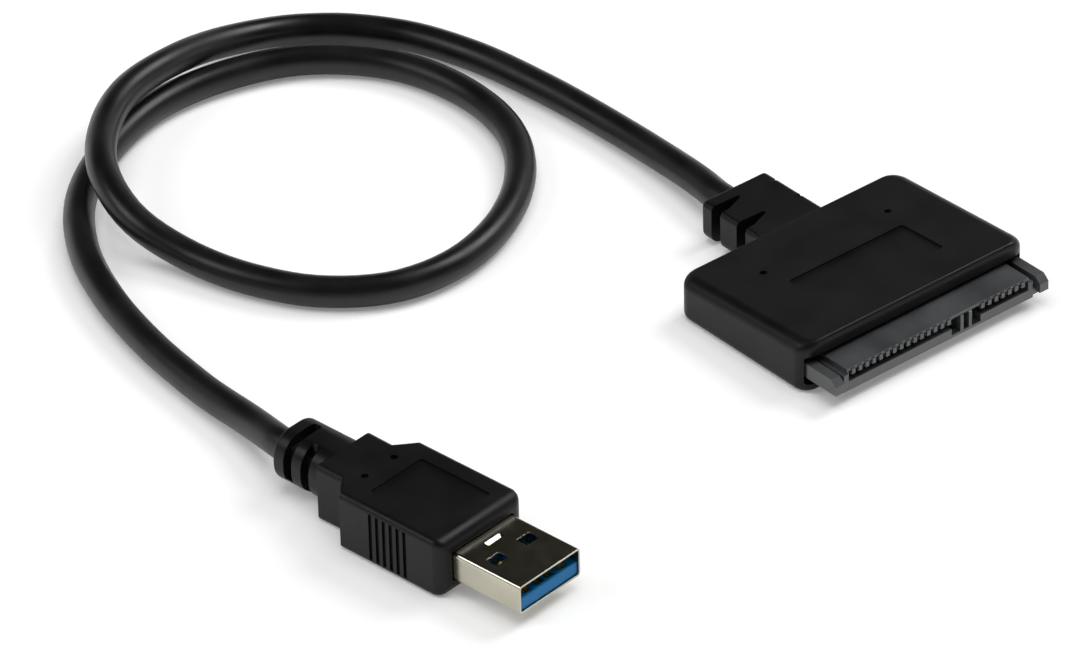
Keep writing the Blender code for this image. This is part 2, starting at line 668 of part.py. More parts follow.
def make_usb_overmold(material, plug):
    """Grip, neck and strain relief of the USB plug, moulded in one piece."""
    overmold = object_from("usb_overmold", loft(plug_sections()), material, plug)
    half = PLUG_BOOT_WIDTH / 2
    section = rounded_rectangle(
        (-half, PLUG_MID_Z - PLUG_BOOT_HEIGHT / 2),
        (half, PLUG_MID_Z + PLUG_BOOT_HEIGHT / 2),
        (PLUG_BOOT_ROUND,) * 4,
        6,
    )
    join(overmold, "plug_boot", prism(section, PLUG_NECK_Y, PLUG_TAIL_Y, "Y"))
    cut_plug_boot_slots(overmold)
    cut_grip_grooves(overmold)
    panel_y = PLUG_FRONT_Y + PLUG_PANEL_SETBACK
    panel = box(
        (-PLUG_PANEL_WIDTH / 2, panel_y, PLUG_HEIGHT - LABEL_SINK),
        (PLUG_PANEL_WIDTH / 2, panel_y + PLUG_PANEL_LENGTH, PLUG_HEIGHT + LABEL_SINK),
    )
    cut(overmold, "plug_label_recess", panel)
    for side in (-1, 1):
        centre = (side * PLUG_DIMPLE_OFFSET, PLUG_FRONT_Y + PLUG_DIMPLE_SETBACK)
        low = PLUG_HEIGHT - DIMPLE_SINK
        high = PLUG_HEIGHT + DIMPLE_SINK
        dimple = cylinder(DIMPLE_DIAMETER / 2, low, high, centre)
        cut(overmold, f"plug_dimple_{'left' if side < 0 else 'right'}", dimple)
    socket = box(
        (-SHELL_WIDTH / 2 - SEAT_GAP, PLUG_FRONT_Y - SEAT_GAP, SHELL_LOW - SEAT_GAP),
        (
            SHELL_WIDTH / 2 + SEAT_GAP,
            PLUG_FRONT_Y + SHELL_HIDDEN_LENGTH + SEAT_GAP,
            SHELL_LOW + SHELL_HEIGHT + SEAT_GAP,
        ),
    )
    cut(overmold, "shell_socket", socket)
    bore = cylinder(
        CABLE_DIAMETER / 2 + CONTACT_GAP,
        PLUG_FRONT_Y + SHELL_HIDDEN_LENGTH,
        PLUG_TAIL_Y + SEAT_GAP,
        (0.0, PLUG_MID_Z),
        24,
        "Y",
    )
    cut(overmold, "plug_cable_bore", bore)


def make_usb_shell(material, plug):
    """Folded sheet shell, open at both ends, with four latch windows and the stop tab's slot."""
    end_y = PLUG_FRONT_Y + SHELL_HIDDEN_LENGTH
    half = SHELL_WIDTH / 2
    outer = rounded_rectangle(
        (-half, SHELL_LOW), (half, SHELL_LOW + SHELL_HEIGHT), (SHELL_CORNER,) * 4, 3
    )
    shell = object_from("usb_shell", prism(outer, 0.0, end_y, "Y"), material, plug)
    inner = rounded_rectangle(
        (-half + SHELL_SHEET, SHELL_LOW + SHELL_SHEET),
        (half - SHELL_SHEET, SHELL_LOW + SHELL_HEIGHT - SHELL_SHEET),
        (SHELL_CORNER - SHELL_SHEET / 2,) * 4,
        3,
    )
    cut(shell, "shell_inside", prism(inner, -SEAT_GAP, end_y + SEAT_GAP, "Y"))
    for side in (-1, 1):
        x = side * WINDOW_OFFSET
        window = box(
            (x - WINDOW_WIDTH / 2, WINDOW_SETBACK - WINDOW_LENGTH / 2, -SHELL_HEIGHT),
            (x + WINDOW_WIDTH / 2, WINDOW_SETBACK + WINDOW_LENGTH / 2, 3 * SHELL_HEIGHT),
        )
        cut(shell, f"latch_windows_{'left' if side < 0 else 'right'}", window)
    slot = box(
        (-TAB_SLOT_WIDTH / 2, TAB_SLOT_SETBACK - TAB_SLOT_LENGTH / 2, PLUG_MID_Z),
        (TAB_SLOT_WIDTH / 2, TAB_SLOT_SETBACK + TAB_SLOT_LENGTH / 2, 3 * SHELL_HEIGHT),
    )
    cut(shell, "tab_slot", slot)


def make_usb_insulator(material, plug):
    """Tongue along the floor of the shell, with the block behind it that fills the shell."""
    half = SHELL_WIDTH / 2 - SHELL_SHEET - CONTACT_GAP
    block_high = SHELL_LOW + SHELL_HEIGHT - SHELL_SHEET - CONTACT_GAP
    side_view = (
        (TONGUE_SETBACK, TONGUE_LOW),
        (BLOCK_END_Y, TONGUE_LOW),
        (BLOCK_END_Y, block_high),
        (BLOCK_FRONT_Y, block_high),
        (BLOCK_FRONT_Y, TONGUE_HIGH),
        (TONGUE_SETBACK, TONGUE_HIGH),
    )
    insulator = object_from("usb_insulator", prism(side_view, -half, half, "X"), material, plug)
    for number, x in enumerate(USB_FLAT_OFFSETS, start=1):
        bed = box(
            (
                x - USB_FLAT_WIDTH / 2 - CONTACT_GAP,
                TONGUE_SETBACK + SEAT_GAP,
                TONGUE_HIGH - USB_FLAT_THICKNESS - CONTACT_GAP,
            ),
            (
                x + USB_FLAT_WIDTH / 2 + CONTACT_GAP,
                TONGUE_SETBACK + 3 * SEAT_GAP + USB_FLAT_LENGTH,
                TONGUE_HIGH + CONTACT_GAP,
            ),
        )
        cut(insulator, f"flat_contact_bed_{number}", bed)


def make_usb_contacts(material, plug):
    """Four flat contacts let into the tongue, and five sprung ones behind them."""
    low_y = TONGUE_SETBACK + 2 * SEAT_GAP
    for number, x in enumerate(USB_FLAT_OFFSETS, start=1):
        flat = box(
            (x - USB_FLAT_WIDTH / 2, low_y, TONGUE_HIGH - USB_FLAT_THICKNESS),
            (x + USB_FLAT_WIDTH / 2, low_y + USB_FLAT_LENGTH, TONGUE_HIGH),
        )
        object_from(f"usb_flat_contact_{number}", flat, material, plug)
    front = BLOCK_FRONT_Y - SEAT_GAP - USB_SPRING_LENGTH
    low_z = TONGUE_HIGH + CONTACT_GAP + USB_SPRING_THICKNESS / 2
    line = (
        (front, low_z),
        (front + USB_SPRING_LENGTH * 0.3, low_z + USB_SPRING_BOW),
        (front + USB_SPRING_LENGTH * 0.5, low_z + USB_SPRING_BOW),
        (front + USB_SPRING_LENGTH * 0.85, low_z),
        (front + USB_SPRING_LENGTH, low_z),
    )
    outline = strip_outline(line, USB_SPRING_THICKNESS)
    for index in range(USB_SPRING_COUNT):
        x = (index - (USB_SPRING_COUNT - 1) / 2) * USB_SPRING_PITCH
        shape = prism(outline, x - USB_SPRING_WIDTH / 2, x + USB_SPRING_WIDTH / 2, "X")
        object_from(f"usb_spring_contact_{index + 1}", shape, material, plug)


def make_cable_ends(material, plug):
    """The stretch of jacket that each strain relief is moulded round."""
    radius = CABLE_DIAMETER / 2
    head_end = cylinder(
        radius, HEAD_TAIL_Y - CABLE_END_INSET, HEAD_TAIL_Y, (0.0, HEAD_CABLE_Z), 24, "Y"
    )
    object_from("head_cable_end", head_end, material)
    plug_end = cylinder(
        radius, PLUG_TAIL_Y - CABLE_END_INSET, PLUG_TAIL_Y, (0.0, PLUG_MID_Z), 24, "Y"
    )
    object_from("plug_cable_end", plug_end, material, plug)


def smooth_path(points, per_span=12):
    """Centripetal Catmull-Rom curve through the points, as closely spaced points."""
    ends = [2 * points[0] - points[1]] + points + [2 * points[-1] - points[-2]]
    path = []
    for index in range(1, len(ends) - 2):
        p0, p1, p2, p3 = ends[index - 1 : index + 3]
        t1 = (p1 - p0).length ** 0.5
        t2 = t1 + (p2 - p1).length ** 0.5
        t3 = t2 + (p3 - p2).length ** 0.5
        for step in range(per_span):
            t = t1 + (t2 - t1) * step / per_span
            a1 = p0.lerp(p1, t / t1)
            a2 = p1.lerp(p2, (t - t1) / (t2 - t1))
            a3 = p2.lerp(p3, (t - t2) / (t3 - t2))
            b1 = a1.lerp(a2, t / t2)
            b2 = a2.lerp(a3, (t - t1) / (t3 - t1))
            path.append(b1.lerp(b2, (t - t1) / (t2 - t1)))
    return path + [points[-1]]


def spaced(path, step):
    """Points at even distances along a path, its two ends included."""
    lengths = [0.0]
    for before, after in zip(path, path[1:]):
        lengths.append(lengths[-1] + (after - before).length)
    count = round(lengths[-1] / step)
    result = []
    index = 0
    for number in range(count + 1):
        wanted = lengths[-1] * number / count
        while index < len(path) - 2 and lengths[index + 1] < wanted:
            index += 1
        share = (wanted - lengths[index]) / (lengths[index + 1] - lengths[index])
        result.append(path[index].lerp(path[index + 1], min(share, 1.0)))
    return result


def make_cable(material, plug_pose):
    head_exit = Vector((0.0, HEAD_TAIL_Y + SEAT_GAP, HEAD_CABLE_Z))
    head_lead = head_exit + Vector((0.0, CABLE_LEAD, 0.0))
    plug_exit = plug_pose @ Vector((0.0, PLUG_TAIL_Y + SEAT_GAP, PLUG_MID_Z))
    plug_lead = plug_pose @ Vector((0.0, PLUG_TAIL_Y + SEAT_GAP + CABLE_LEAD, PLUG_MID_Z))
    route = [head_lead] + [Vector(point) * MM for point in CABLE_ROUTE_MM] + [plug_lead]
    points = [head_exit] + spaced(smooth_path(route), CABLE_STEP) + [plug_exit]
    curve = bpy.data.curves.new("cable", "CURVE")
    curve.dimensions = "3D"
    curve.bevel_depth = CABLE_DIAMETER / 2
    curve.bevel_resolution = 3
    curve.use_fill_caps = True
    spline = curve.splines.new("POLY")
    spline.points.add(len(points) - 1)
    for spline_point, point in zip(spline.points, points):
        height = max(point.z, CABLE_DIAMETER / 2)
        spline_point.co = (point.x, point.y, height, 1.0)
    cable = bpy.data.objects.new("cable", curve)
    bpy.context.scene.collection.objects.link(cable)
    curve.materials.append(material)


def make_plug_frame():
    plug = bpy.data.objects.new("usb_plug_frame", None)
    bpy.context.scene.collection.objects.link(plug)
    plug.location = PLUG_POSITION
    plug.rotation_euler = (0.0, 0.0, PLUG_TURN)
    pose = Matrix.Translation(PLUG_POSITION) @ Matrix.Rotation(PLUG_TURN, 4, "Z")
    return plug, pose


def main():
    clear_scene()
    housing = make_material("housing_black", (0.012, 0.012, 0.013), 0.45)
    jacket = make_material("cable_black", (0.014, 0.014, 0.015), 0.5)
    receptacle = make_material("receptacle_grey", (0.055, 0.057, 0.06), 0.45)
    blue = make_material("tongue_blue", (0.01, 0.17, 0.42), 0.4)
    nickel = make_material("shell_nickel", (0.72, 0.69, 0.63), 0.2, 1.0)
    gold = make_material("contact_gold", (0.83, 0.62, 0.28), 0.25, 1.0)
    board_parts = {
        "board": make_material("board_green", (0.02, 0.16, 0.07), 0.4),
        "chip": make_material("chip_black", (0.02, 0.02, 0.02), 0.5),
        "metal": make_material("can_metal", (0.65, 0.65, 0.66), 0.3, 1.0),
        "ceramic": make_material("capacitor_tan", (0.45, 0.32, 0.2), 0.5),
    }
    plug, plug_pose = make_plug_frame()
    make_sata_overmold(housing)
    make_sata_receptacle(receptacle)
    make_drive_contacts(gold)
    make_board(board_parts)
    make_usb_overmold(housing, plug)
    make_usb_shell(nickel, plug)
    make_usb_insulator(blue, plug)
    make_usb_contacts(gold, plug)
    make_cable_ends(jacket, plug)
    make_cable(jacket, plug_pose)


main()
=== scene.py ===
"""USB to SATA adapter cable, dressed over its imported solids, in metres.

The head lies on the floor with its mating face towards -Y, and +Z is up.
"""

import math

import bmesh
import bpy
from bpy.props import FloatProperty, FloatVectorProperty, PointerProperty
from mathutils import Matrix, Quaternion, Vector


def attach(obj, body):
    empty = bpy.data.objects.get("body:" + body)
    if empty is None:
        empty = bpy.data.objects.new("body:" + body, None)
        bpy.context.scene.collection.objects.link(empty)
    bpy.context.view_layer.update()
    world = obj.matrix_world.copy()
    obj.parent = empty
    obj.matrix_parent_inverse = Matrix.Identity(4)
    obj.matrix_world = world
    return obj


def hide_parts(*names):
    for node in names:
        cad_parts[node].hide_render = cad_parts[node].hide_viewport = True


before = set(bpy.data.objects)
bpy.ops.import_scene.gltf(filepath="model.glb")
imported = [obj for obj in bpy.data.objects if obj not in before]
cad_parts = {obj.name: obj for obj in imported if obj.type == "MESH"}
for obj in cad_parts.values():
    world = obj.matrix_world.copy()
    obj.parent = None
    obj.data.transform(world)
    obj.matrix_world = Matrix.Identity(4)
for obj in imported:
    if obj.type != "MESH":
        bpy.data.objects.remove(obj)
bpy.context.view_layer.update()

bl_info = {
    "name": "USB to SATA adapter",
    "version": (1, 0, 0),
    "blender": (4, 5, 0),
    "location": "3D View > Sidebar > Adapter",
    "description": "Models and dresses an adapter cable from a USB plug to a drive receptacle",
    "category": "Add Mesh",
}

MM = 0.001
TINY = 1e-6
BODY = "root"
# Points closer than this are merged
WELD = 2e-6
SHARP_ANGLE = math.radians(40.0)
SMOOTH_ANGLE = math.radians(35.0)

# How far a cutter reaches past what it cuts, and a joined block into its neighbour
PAST = 1.0 * MM
# A height above every piece
ABOVE = 12.0 * MM
# Clearance round the cord in its bores
BORE_CLEARANCE = 0.12 * MM

# Drive head
POWER_CONTACTS = 15
SIGNAL_CONTACTS = 7
# Pitches from the last power contact to the first signal contact
SEGMENT_STEP = 5
# Share of the top round on the edges along X
END_ROUND_SHARE = 0.3
POCKET_WALL = 2.6 * MM
POCKET_LOW = 1.2 * MM
POCKET_HIGH = 5.6 * MM
POCKET_BACK = 4.0 * MM
MOUTH_HEADROOM = 0.7 * MM
HEAD_DIMPLE_SETBACK = 19.0 * MM
HEAD_DIMPLE_X = 11.7 * MM
DIMPLE_RADIUS = 0.55 * MM
DIMPLE_DEPTH = 0.5 * MM
HEAD_SLOT_SETBACKS = (2.1 * MM, 7.5 * MM)
HEAD_SLOT_REACH = 1.6 * MM
HEAD_SLOT_POINT = 3.4 * MM
HEAD_NOTCH_REACH = 1.4 * MM
HEAD_NOTCH_WIDTH = 0.7 * MM
HEAD_BOOT_EXTRA = 0.4 * MM

# Drive receptacle
SLOT_DEPTH = 6.0 * MM
SLOT_MARGIN = 0.95 * MM
KEY_REACH = 2.1 * MM
KEY_WIDTH = 1.65 * MM
KEY_FLOOR = 0.45 * MM
TAIL_SLIT = 0.55 * MM
PARTING_GROOVE = 1.0 * MM
STEP_WIDTH = 0.7 * MM
STEP_DROP = 0.8 * MM
WING_LIFT = 0.4 * MM
WING_HIGH = 1.4 * MM
EAR_LEAD_DROP = 1.8 * MM
WEDGE_HALF = 25.0 * MM
TOOTH_WIDTH = 0.66 * MM
TOOTH_HEIGHT = 0.65 * MM
TOOTH_DEPTH = 0.25 * MM
TOOTH_INSET = 0.03 * MM

# USB plug
GRIP_GROOVES = 6
GRIP_PITCH = 1.25 * MM
GRIP_SETBACK = 6.7 * MM
GRIP_GROOVE_HALF = 0.3 * MM
GRIP_GROOVE_DEPTH = 0.4 * MM
GRIP_GROOVE_RIM = 0.8 * MM
PANEL_HALF = 5.1 * MM
PANEL_SETBACK = 3.1 * MM
PANEL_LENGTH = 12.7 * MM
PANEL_SINK = 0.25 * MM
PLUG_DIMPLE_SETBACK = 18.8 * MM
PLUG_DIMPLE_X = 2.9 * MM
PLUG_BOOT_TAIL = 0.8 * MM
PLUG_BOOT_LIFT = 1.0 * MM
PLUG_BOOT_CROWN = 0.1 * MM
PLUG_SLOT_WIDTH = 1.5 * MM
PLUG_SLOT_CORE = 0.6 * MM
# Setback, reach across the top and lower end of each crescent slot
PLUG_SLOTS = ((2.1 * MM, 2.0 * MM, 3.0 * MM), (5.3 * MM, -1.6 * MM, -PAST))
SOCKET_DEPTH = 6.3 * MM
SHELL_TAIL = 6.0 * MM
BORE_END = 60.0 * MM
WINDOW_X = 3.0 * MM
WINDOW_HALF = 1.25 * MM
WINDOW_FRONT = 5.6 * MM
WINDOW_BACK = 7.6 * MM
TAB_SLOT_HALF = 1.55 * MM
TAB_HALF = 1.45 * MM
TAB_FRONT = 9.6 * MM
TAB_BACK = 10.4 * MM
TAB_DROP = 0.5 * MM
TAB_GAP = 0.06 * MM
TAB_SINK = 0.04 * MM
SEAM_HALF = 0.04 * MM
TONGUE_SIDE_GAP = 0.04 * MM
TONGUE_FLOOR_GAP = 0.03 * MM
TONGUE_RAISE = 0.09 * MM
TONGUE_TOP_GAP = 0.12 * MM
TONGUE_FRONT = 0.25 * MM
TONGUE_TAIL = 5.7 * MM
RISER_LENGTH = 8.0 * MM
FLAT_CONTACT_X = (-3.5 * MM, -1.0 * MM, 1.0 * MM, 3.5 * MM)
CONTACT_BED_HALF = 0.72 * MM
CONTACT_BED_DEPTH = 0.32 * MM
CONTACT_BED_FRONT = 0.7 * MM
CONTACT_BED_BACK = 8.3 * MM

# Floor and world
FLOOR_SIZE = 8.0
FLOOR_GLOW = 0.2
WHITE_BELOW = 0.1
DARK_ABOVE = 0.3
OVERHEAD_TONE = (0.028, 0.027, 0.025, 1.0)

# Camera, as fitted to the photograph
PHOTO_WIDTH = 1080
SENSOR_WIDTH = 36.0
FOCAL_PIXELS = 8000.0
CAMERA_AIM = Vector((-0.037305, 0.020453, 0.0))
CAMERA_DISTANCE = 1.118577
CAMERA_AZIMUTH = math.radians(-39.205)
CAMERA_ELEVATION = math.radians(34.24)
CAMERA_ROLL = math.radians(-1.418)

# The cord's route in millimetres, from the drive head to the plug, as in the solids' source
CABLE_ROUTE_MM = (
    (0.9, 31.1, 3.3),
    (1.8, 41.2, 2.6),
    (1.9, 53.7, 2.3),
    (1.1, 66.3, 2.3),
    (-1.0, 79.8, 2.3),
    (-5.6, 91.5, 2.3),
    (-14.8, 101.3, 2.4),
    (-27.5, 104.1, 4.2),
    (-39.8, 101.7, 6.8),
    (-49.8, 98.8, 7.4),
    (-58.5, 92.6, 7.4),
    (-65.1, 83.7, 7.2),
    (-67.3, 73.9, 5.2),
    (-65.0, 64.3, 2.8),
    (-61.5, 54.0, 2.3),
    (-56.4, 45.7, 2.3),
    (-47.8, 39.6, 2.3),
    (-37.4, 38.5, 2.3),
    (-26.4, 42.1, 2.3),
    (-16.2, 49.9, 2.3),
    (-9.9, 59.9, 2.3),
    (-8.1, 72.1, 2.3),
    (-11.1, 84.7, 2.3),
    (-20.0, 94.7, 2.3),
    (-31.6, 99.1, 2.3),
    (-43.9, 99.4, 2.3),
    (-55.9, 95.0, 2.3),
    (-67.0, 87.1, 2.3),
    (-74.8, 76.3, 2.3),
    (-79.6, 64.0, 2.3),
    (-82.4, 50.8, 2.3),
    (-83.6, 37.9, 2.3),
    (-84.2, 26.1, 3.2),
)

# The plug's own frame: its axis runs along Y, from the mouth back
PLUG_POSE = Matrix.Translation((-0.0787, -0.0311, 0.0)) @ Matrix.Rotation(math.radians(7.9), 4, "Z")


def length(name, description, millimetres):
    return FloatProperty(
        name=name,
        description=description,
        default=millimetres * MM,
        min=0.0,
        precision=5,
        unit="LENGTH",
    )


def colour(name, description, value):
    return FloatVectorProperty(
        name=name, description=description, default=value, min=0.0, max=1.0, subtype="COLOR"
    )


class HeadSizes(bpy.types.PropertyGroup):
    """Sizes of the drive head."""

    width: length("Width", "Housing across the contact row", 41.6)
    depth: length("Depth", "Housing from its mouth to its back", 27.0)
    height: length("Height", "Floor to the top at the mouth", 8.3)
    back_height: length("Back height", "Floor to the top at the back", 6.8)
    front: length("Mouth distance", "Origin to the housing's mouth, along -Y", 16.75)
    corner: length("Corner radius", "Upright corners", 2.4)
    top_round: length("Top round", "Edges round the top", 2.0)
    bottom_round: length("Bottom round", "Edges round the underside", 1.2)
    soften: length("Small edge round", "Every other moulded edge", 0.14)
    label_width: length("Label width", "Bare recessed panel, along X", 21.4)
    label_depth: length("Label depth", "Bare recessed panel, along Y", 8.7)
    label_setback: length("Label setback", "Mouth to the panel", 6.2)
    label_sink: length("Label sink", "How far the panel is let in", 0.25)
    boot_width: length("Strain relief width", "Across the cord", 11.7)
    boot_length: length("Strain relief length", "Along the cord", 11.9)
    boot_height: length("Strain relief height", "Its top is flush with the housing", 6.4)
    slot_width: length("Strain relief slot", "Width of the side slots", 1.9)


class ReceptacleSizes(bpy.types.PropertyGroup):
    """Sizes of the keyed drive receptacle."""

    pitch: length("Contact pitch", "Centre to centre of the contacts", 1.27)
    front: length("Front distance", "Origin to the receptacle's front, along -Y", 21.35)
    back: length("Back distance", "Origin to the receptacle's back, along -Y", 10.35)
    low: length("Underside height", "Above the floor", 1.8)
    slot_low: length("Slot floor", "Height of the top of the lower lip", 3.3)
    slot_high: length("Slot ceiling", "Height of the slot's ceiling", 4.85)
    high: length("Top height", "Above the floor", 5.3)
    half: length("Half width", "Middle to the end of the slot body", 17.725)
    ear_half: length("Ear reach", "Middle to the outside of an ear", 19.925)
    ear_width: length("Ear width", "Along X", 1.6)
    ear_low: length("Ear underside", "Above the floor", 2.6)
    ear_height: length("Ear height", "Underside to top", 2.3)
    ear_tip: length("Ear tip distance", "Origin to the ear tips, along -Y", 22.15)
    soften: length("Edge round", "Every moulded edge", 0.1)


class PlugSizes(bpy.types.PropertyGroup):
    """Sizes of the USB plug."""

    shell_width: length("Shell width", "Folded metal shell", 12.0)
    shell_height: length("Shell height", "Folded metal shell", 4.5)
    shell_length: length("Shell length", "In front of the grip", 12.0)
    sheet: length("Shell sheet", "Thickness of the shell's metal", 0.3)
    width: length("Grip width", "Moulded grip", 16.5)
    height: length("Grip height", "Moulded grip", 9.1)
    body_length: length("Grip length", "To the start of the taper", 18.6)
    taper_length: length("Taper length", "From the grip to the neck", 2.4)
    neck_width: length("Neck width", "Behind the taper", 10.8)
    neck_length: length("Neck length", "Behind the taper", 4.4)
    front_round: length("Front round", "Edges round the shell", 1.8)
    edge_round: length("Edge round", "Long edges of the grip", 0.85)
    boot_width: length("Strain relief width", "Across the cord", 9.0)
    boot_height: length("Strain relief height", "Across the cord", 8.8)
    boot_length: length("Strain relief length", "Along the cord", 8.5)
    boot_round: length("Strain relief round", "Long edges", 3.4)
    tongue: length("Tongue thickness", "Insulator in the mouth", 1.85)


class CordSizes(bpy.types.PropertyGroup):
    """Sizes of the round cord."""

    diameter: length("Diameter", "Outside of the jacket", 4.6)
    lead: length("Straight lead", "Straight stretch out of each strain relief", 3.0)
    gap: length("Seat gap", "Cord to strain relief", 0.3)
    step: length("Point spacing", "Between points of the smooth line", 2.0)


class AdapterColours(bpy.types.PropertyGroup):
    """Colours of the adapter."""

    housing: colour("Housing", "Moulded black plastic", (0.0036, 0.0036, 0.0038))
    jacket: colour("Jacket", "Cord jacket", (0.0042, 0.0042, 0.0044))
    receptacle: colour("Receptacle", "Glass-filled grey plastic", (0.045, 0.047, 0.05))
    nickel: colour("Shell", "Nickel-plated sheet", (0.54, 0.515, 0.42))
    tongue: colour("Tongue", "Blue insulator", (0.004, 0.16, 0.4))
    gold: colour("Plug contacts", "Gold plate", (0.85, 0.64, 0.3))
    tin: colour("Drive contacts", "Pale plated spring metal", (0.72, 0.7, 0.66))
    board: colour("Board", "Solder mask", (0.012, 0.11, 0.05))
    epoxy: colour("Chip", "Moulded epoxy", (0.014, 0.014, 0.015))
    ceramic: colour("Capacitors", "Fired ceramic", (0.42, 0.3, 0.19))
    floor: colour("Floor", "Plain pale floor", (0.86, 0.86, 0.86))


# Selecting and shaping, as by hand


def alone(piece):
    """Leaves object mode with only this piece selected and active."""
    bpy.ops.object.select_all(action="DESELECT")
    piece.select_set(True)
    bpy.context.view_layer.objects.active = piece


def place_applied(piece):
    alone(piece)
    bpy.ops.object.transform_apply(location=True, rotation=True, scale=True)
    return piece


def block(name, corner, opposite):
    """A cube stretched between two opposite corners, as the start of a piece."""
    low, high = Vector(map(min, corner, opposite)), Vector(map(max, corner, opposite))
    bpy.ops.object.select_all(action="DESELECT")
    bpy.ops.mesh.primitive_cube_add(size=1.0, location=(low + high) / 2)
    piece = bpy.context.object
    piece.name = name
    piece.scale = high - low
    return place_applied(piece)


def rod(name, radius, start, end, sides=48):
    """A cylinder between two points."""
    start, end = Vector(start), Vector(end)
    bpy.ops.object.select_all(action="DESELECT")
    bpy.ops.mesh.primitive_cylinder_add(
        vertices=sides, radius=radius, depth=(end - start).length, location=(start + end) / 2
    )
    piece = bpy.context.object
    piece.name = name
    piece.rotation_mode = "QUATERNION"
    piece.rotation_quaternion = (end - start).to_track_quat("Z", "Y")
    return place_applied(piece)


def edit_chosen(piece, edges=None, faces=None):
    """Goes into edit mode with only the chosen edges or faces selected."""
    alone(piece)
    bpy.ops.object.mode_set(mode="EDIT")
    bpy.ops.mesh.select_mode(type="FACE" if edges is None else "EDGE")
    bpy.ops.mesh.select_all(action="DESELECT")
    shape = bmesh.from_edit_mesh(piece.data)
    for item in shape.faces if edges is None else shape.edges:
        if (faces or edges)(item):
            item.select_set(True)
    bmesh.update_edit_mesh(piece.data)


def leave_edit():
    bpy.ops.object.mode_set(mode="OBJECT")


def round_edges(piece, chosen, radius, segments=6):
    edit_chosen(piece, edges=chosen)
    bpy.ops.mesh.bevel(offset=radius, segments=segments, profile=0.5, affect="EDGES")
    leave_edit()
    return piece


def along(axis, where=None):
    """Chooses the edges that run along an axis, and whose middle passes the test."""

    def chosen(edge):
        first, second = (vert.co for vert in edge.verts)
        run = (second - first).normalized()
        return abs(run[axis]) > 0.99 and (where is None or where((first + second) / 2))

    return chosen


def in_plane(axis, value):
    """Chooses the edges that lie in the plane across an axis."""
    return lambda edge: all(abs(vert.co[axis] - value) < TINY for vert in edge.verts)


def facing(axis, sign):
    return lambda face: face.normal[axis] * sign > 0.999


def modify(piece, kind, **settings):
    """Adds a modifier with these settings and applies it."""
    modifier = piece.modifiers.new(kind.title(), kind)
    for name, value in settings.items():
        setattr(modifier, name, value)
    alone(piece)
    bpy.ops.object.modifier_apply(modifier=modifier.name)
    return piece


def bevel_by_weight(piece, width, segments, weight_of):
    """Bevels each edge by its share of the width, found from the edge's two ends."""
    layer = piece.data.attributes.new("bevel_weight_edge", "FLOAT", "EDGE")
    points = piece.data.vertices
    for edge in piece.data.edges:
        first, second = (points[index].co for index in edge.vertices)
        layer.data[edge.index].value = weight_of(first, second)
    settings = {"width": width, "segments": segments, "limit_method": "WEIGHT", "use_clamp_overlap": False}
    return modify(piece, "BEVEL", **settings)


def carve(piece, tool, operation="DIFFERENCE"):
    modify(piece, "BOOLEAN", operation=operation, object=tool, solver="EXACT")
    bpy.data.objects.remove(tool, do_unlink=True)
    return piece


def copies(piece, offsets):
    """One mesh of this piece and a copy of it at each offset."""
    made = [piece]
    for offset in offsets:
        alone(piece)
        bpy.ops.object.duplicate()
        bpy.ops.transform.translate(value=offset)
        made.append(bpy.context.object)
    bpy.ops.object.select_all(action="DESELECT")
    for item in made:
        item.select_set(True)
    bpy.context.view_layer.objects.active = piece
    bpy.ops.object.join()
    return place_applied(piece)


def finish_piece(piece, material, soften=0.0, pose=None):
    """Softens the sharp edges, shades, places and dresses a modelled piece, and lets it ride."""
    alone(piece)
    bpy.ops.object.mode_set(mode="EDIT")
    bpy.ops.mesh.select_all(action="SELECT")
    bpy.ops.mesh.remove_doubles(threshold=WELD)
    bpy.ops.mesh.normals_make_consistent(inside=False)
    leave_edit()
    if soften:
        modify(
            piece,
            "BEVEL",
            width=soften,
            segments=2,
            limit_method="ANGLE",
            angle_limit=SHARP_ANGLE,
            use_clamp_overlap=True,
            miter_outer="MITER_ARC",
        )
    if pose is not None:
        piece.matrix_world = pose
        place_applied(piece)
    alone(piece)
    bpy.ops.object.shade_smooth_by_angle(angle=SMOOTH_ANGLE)
    modify(piece, "WEIGHTED_NORMAL", keep_sharp=True, weight=60)
    piece.data.materials.clear()
    piece.data.materials.append(material)
    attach(piece, BODY)
    return piece


def dress(names, finish):
    """Gives the frame's nodes of these names a finish."""
    for name in names:
        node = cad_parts[name]
        node.data.materials.clear()
        node.data.materials.append(finish_of(finish))


def numbered(name, count):
    return [f"{name}_{number}" for number in range(1, count + 1)]


# Shader nodes


def add_node(tree, kind, **settings):
    node = tree.nodes.new(kind)
    for name, value in settings.items():
        setattr(node, name, value)
    return node


def feed(socket, value):
    """Links an output to this input, or sets the input to a plain value."""
    if isinstance(value, bpy.types.NodeSocket):
        socket.id_data.links.new(value, socket)
    else:
        socket.default_value = value


def set_inputs(node, **values):
    for name, value in values.items():
        feed(node.inputs[name.replace("_", " ")], value)
    return node


def calculated(tree, operation, *values):
    node = add_node(tree, "ShaderNodeMath", operation=operation)
    for socket, value in zip(node.inputs, values):
        feed(socket, value)
    return node.outputs[0]


def new_group(name, inputs, outputs):
    """An empty shader group with named float or colour sockets, its start and its end."""
    tree = bpy.data.node_groups.new(name, "ShaderNodeTree")
    for label, value in inputs:
        kind = "NodeSocketColor" if isinstance(value, tuple) else "NodeSocketFloat"
        socket = tree.interface.new_socket(label, in_out="INPUT", socket_type=kind)
        socket.default_value = value
    for label, kind in outputs:
        tree.interface.new_socket(label, in_out="OUTPUT", socket_type=kind)
    return tree, tree.nodes.new("NodeGroupInput"), tree.nodes.new("NodeGroupOutput")


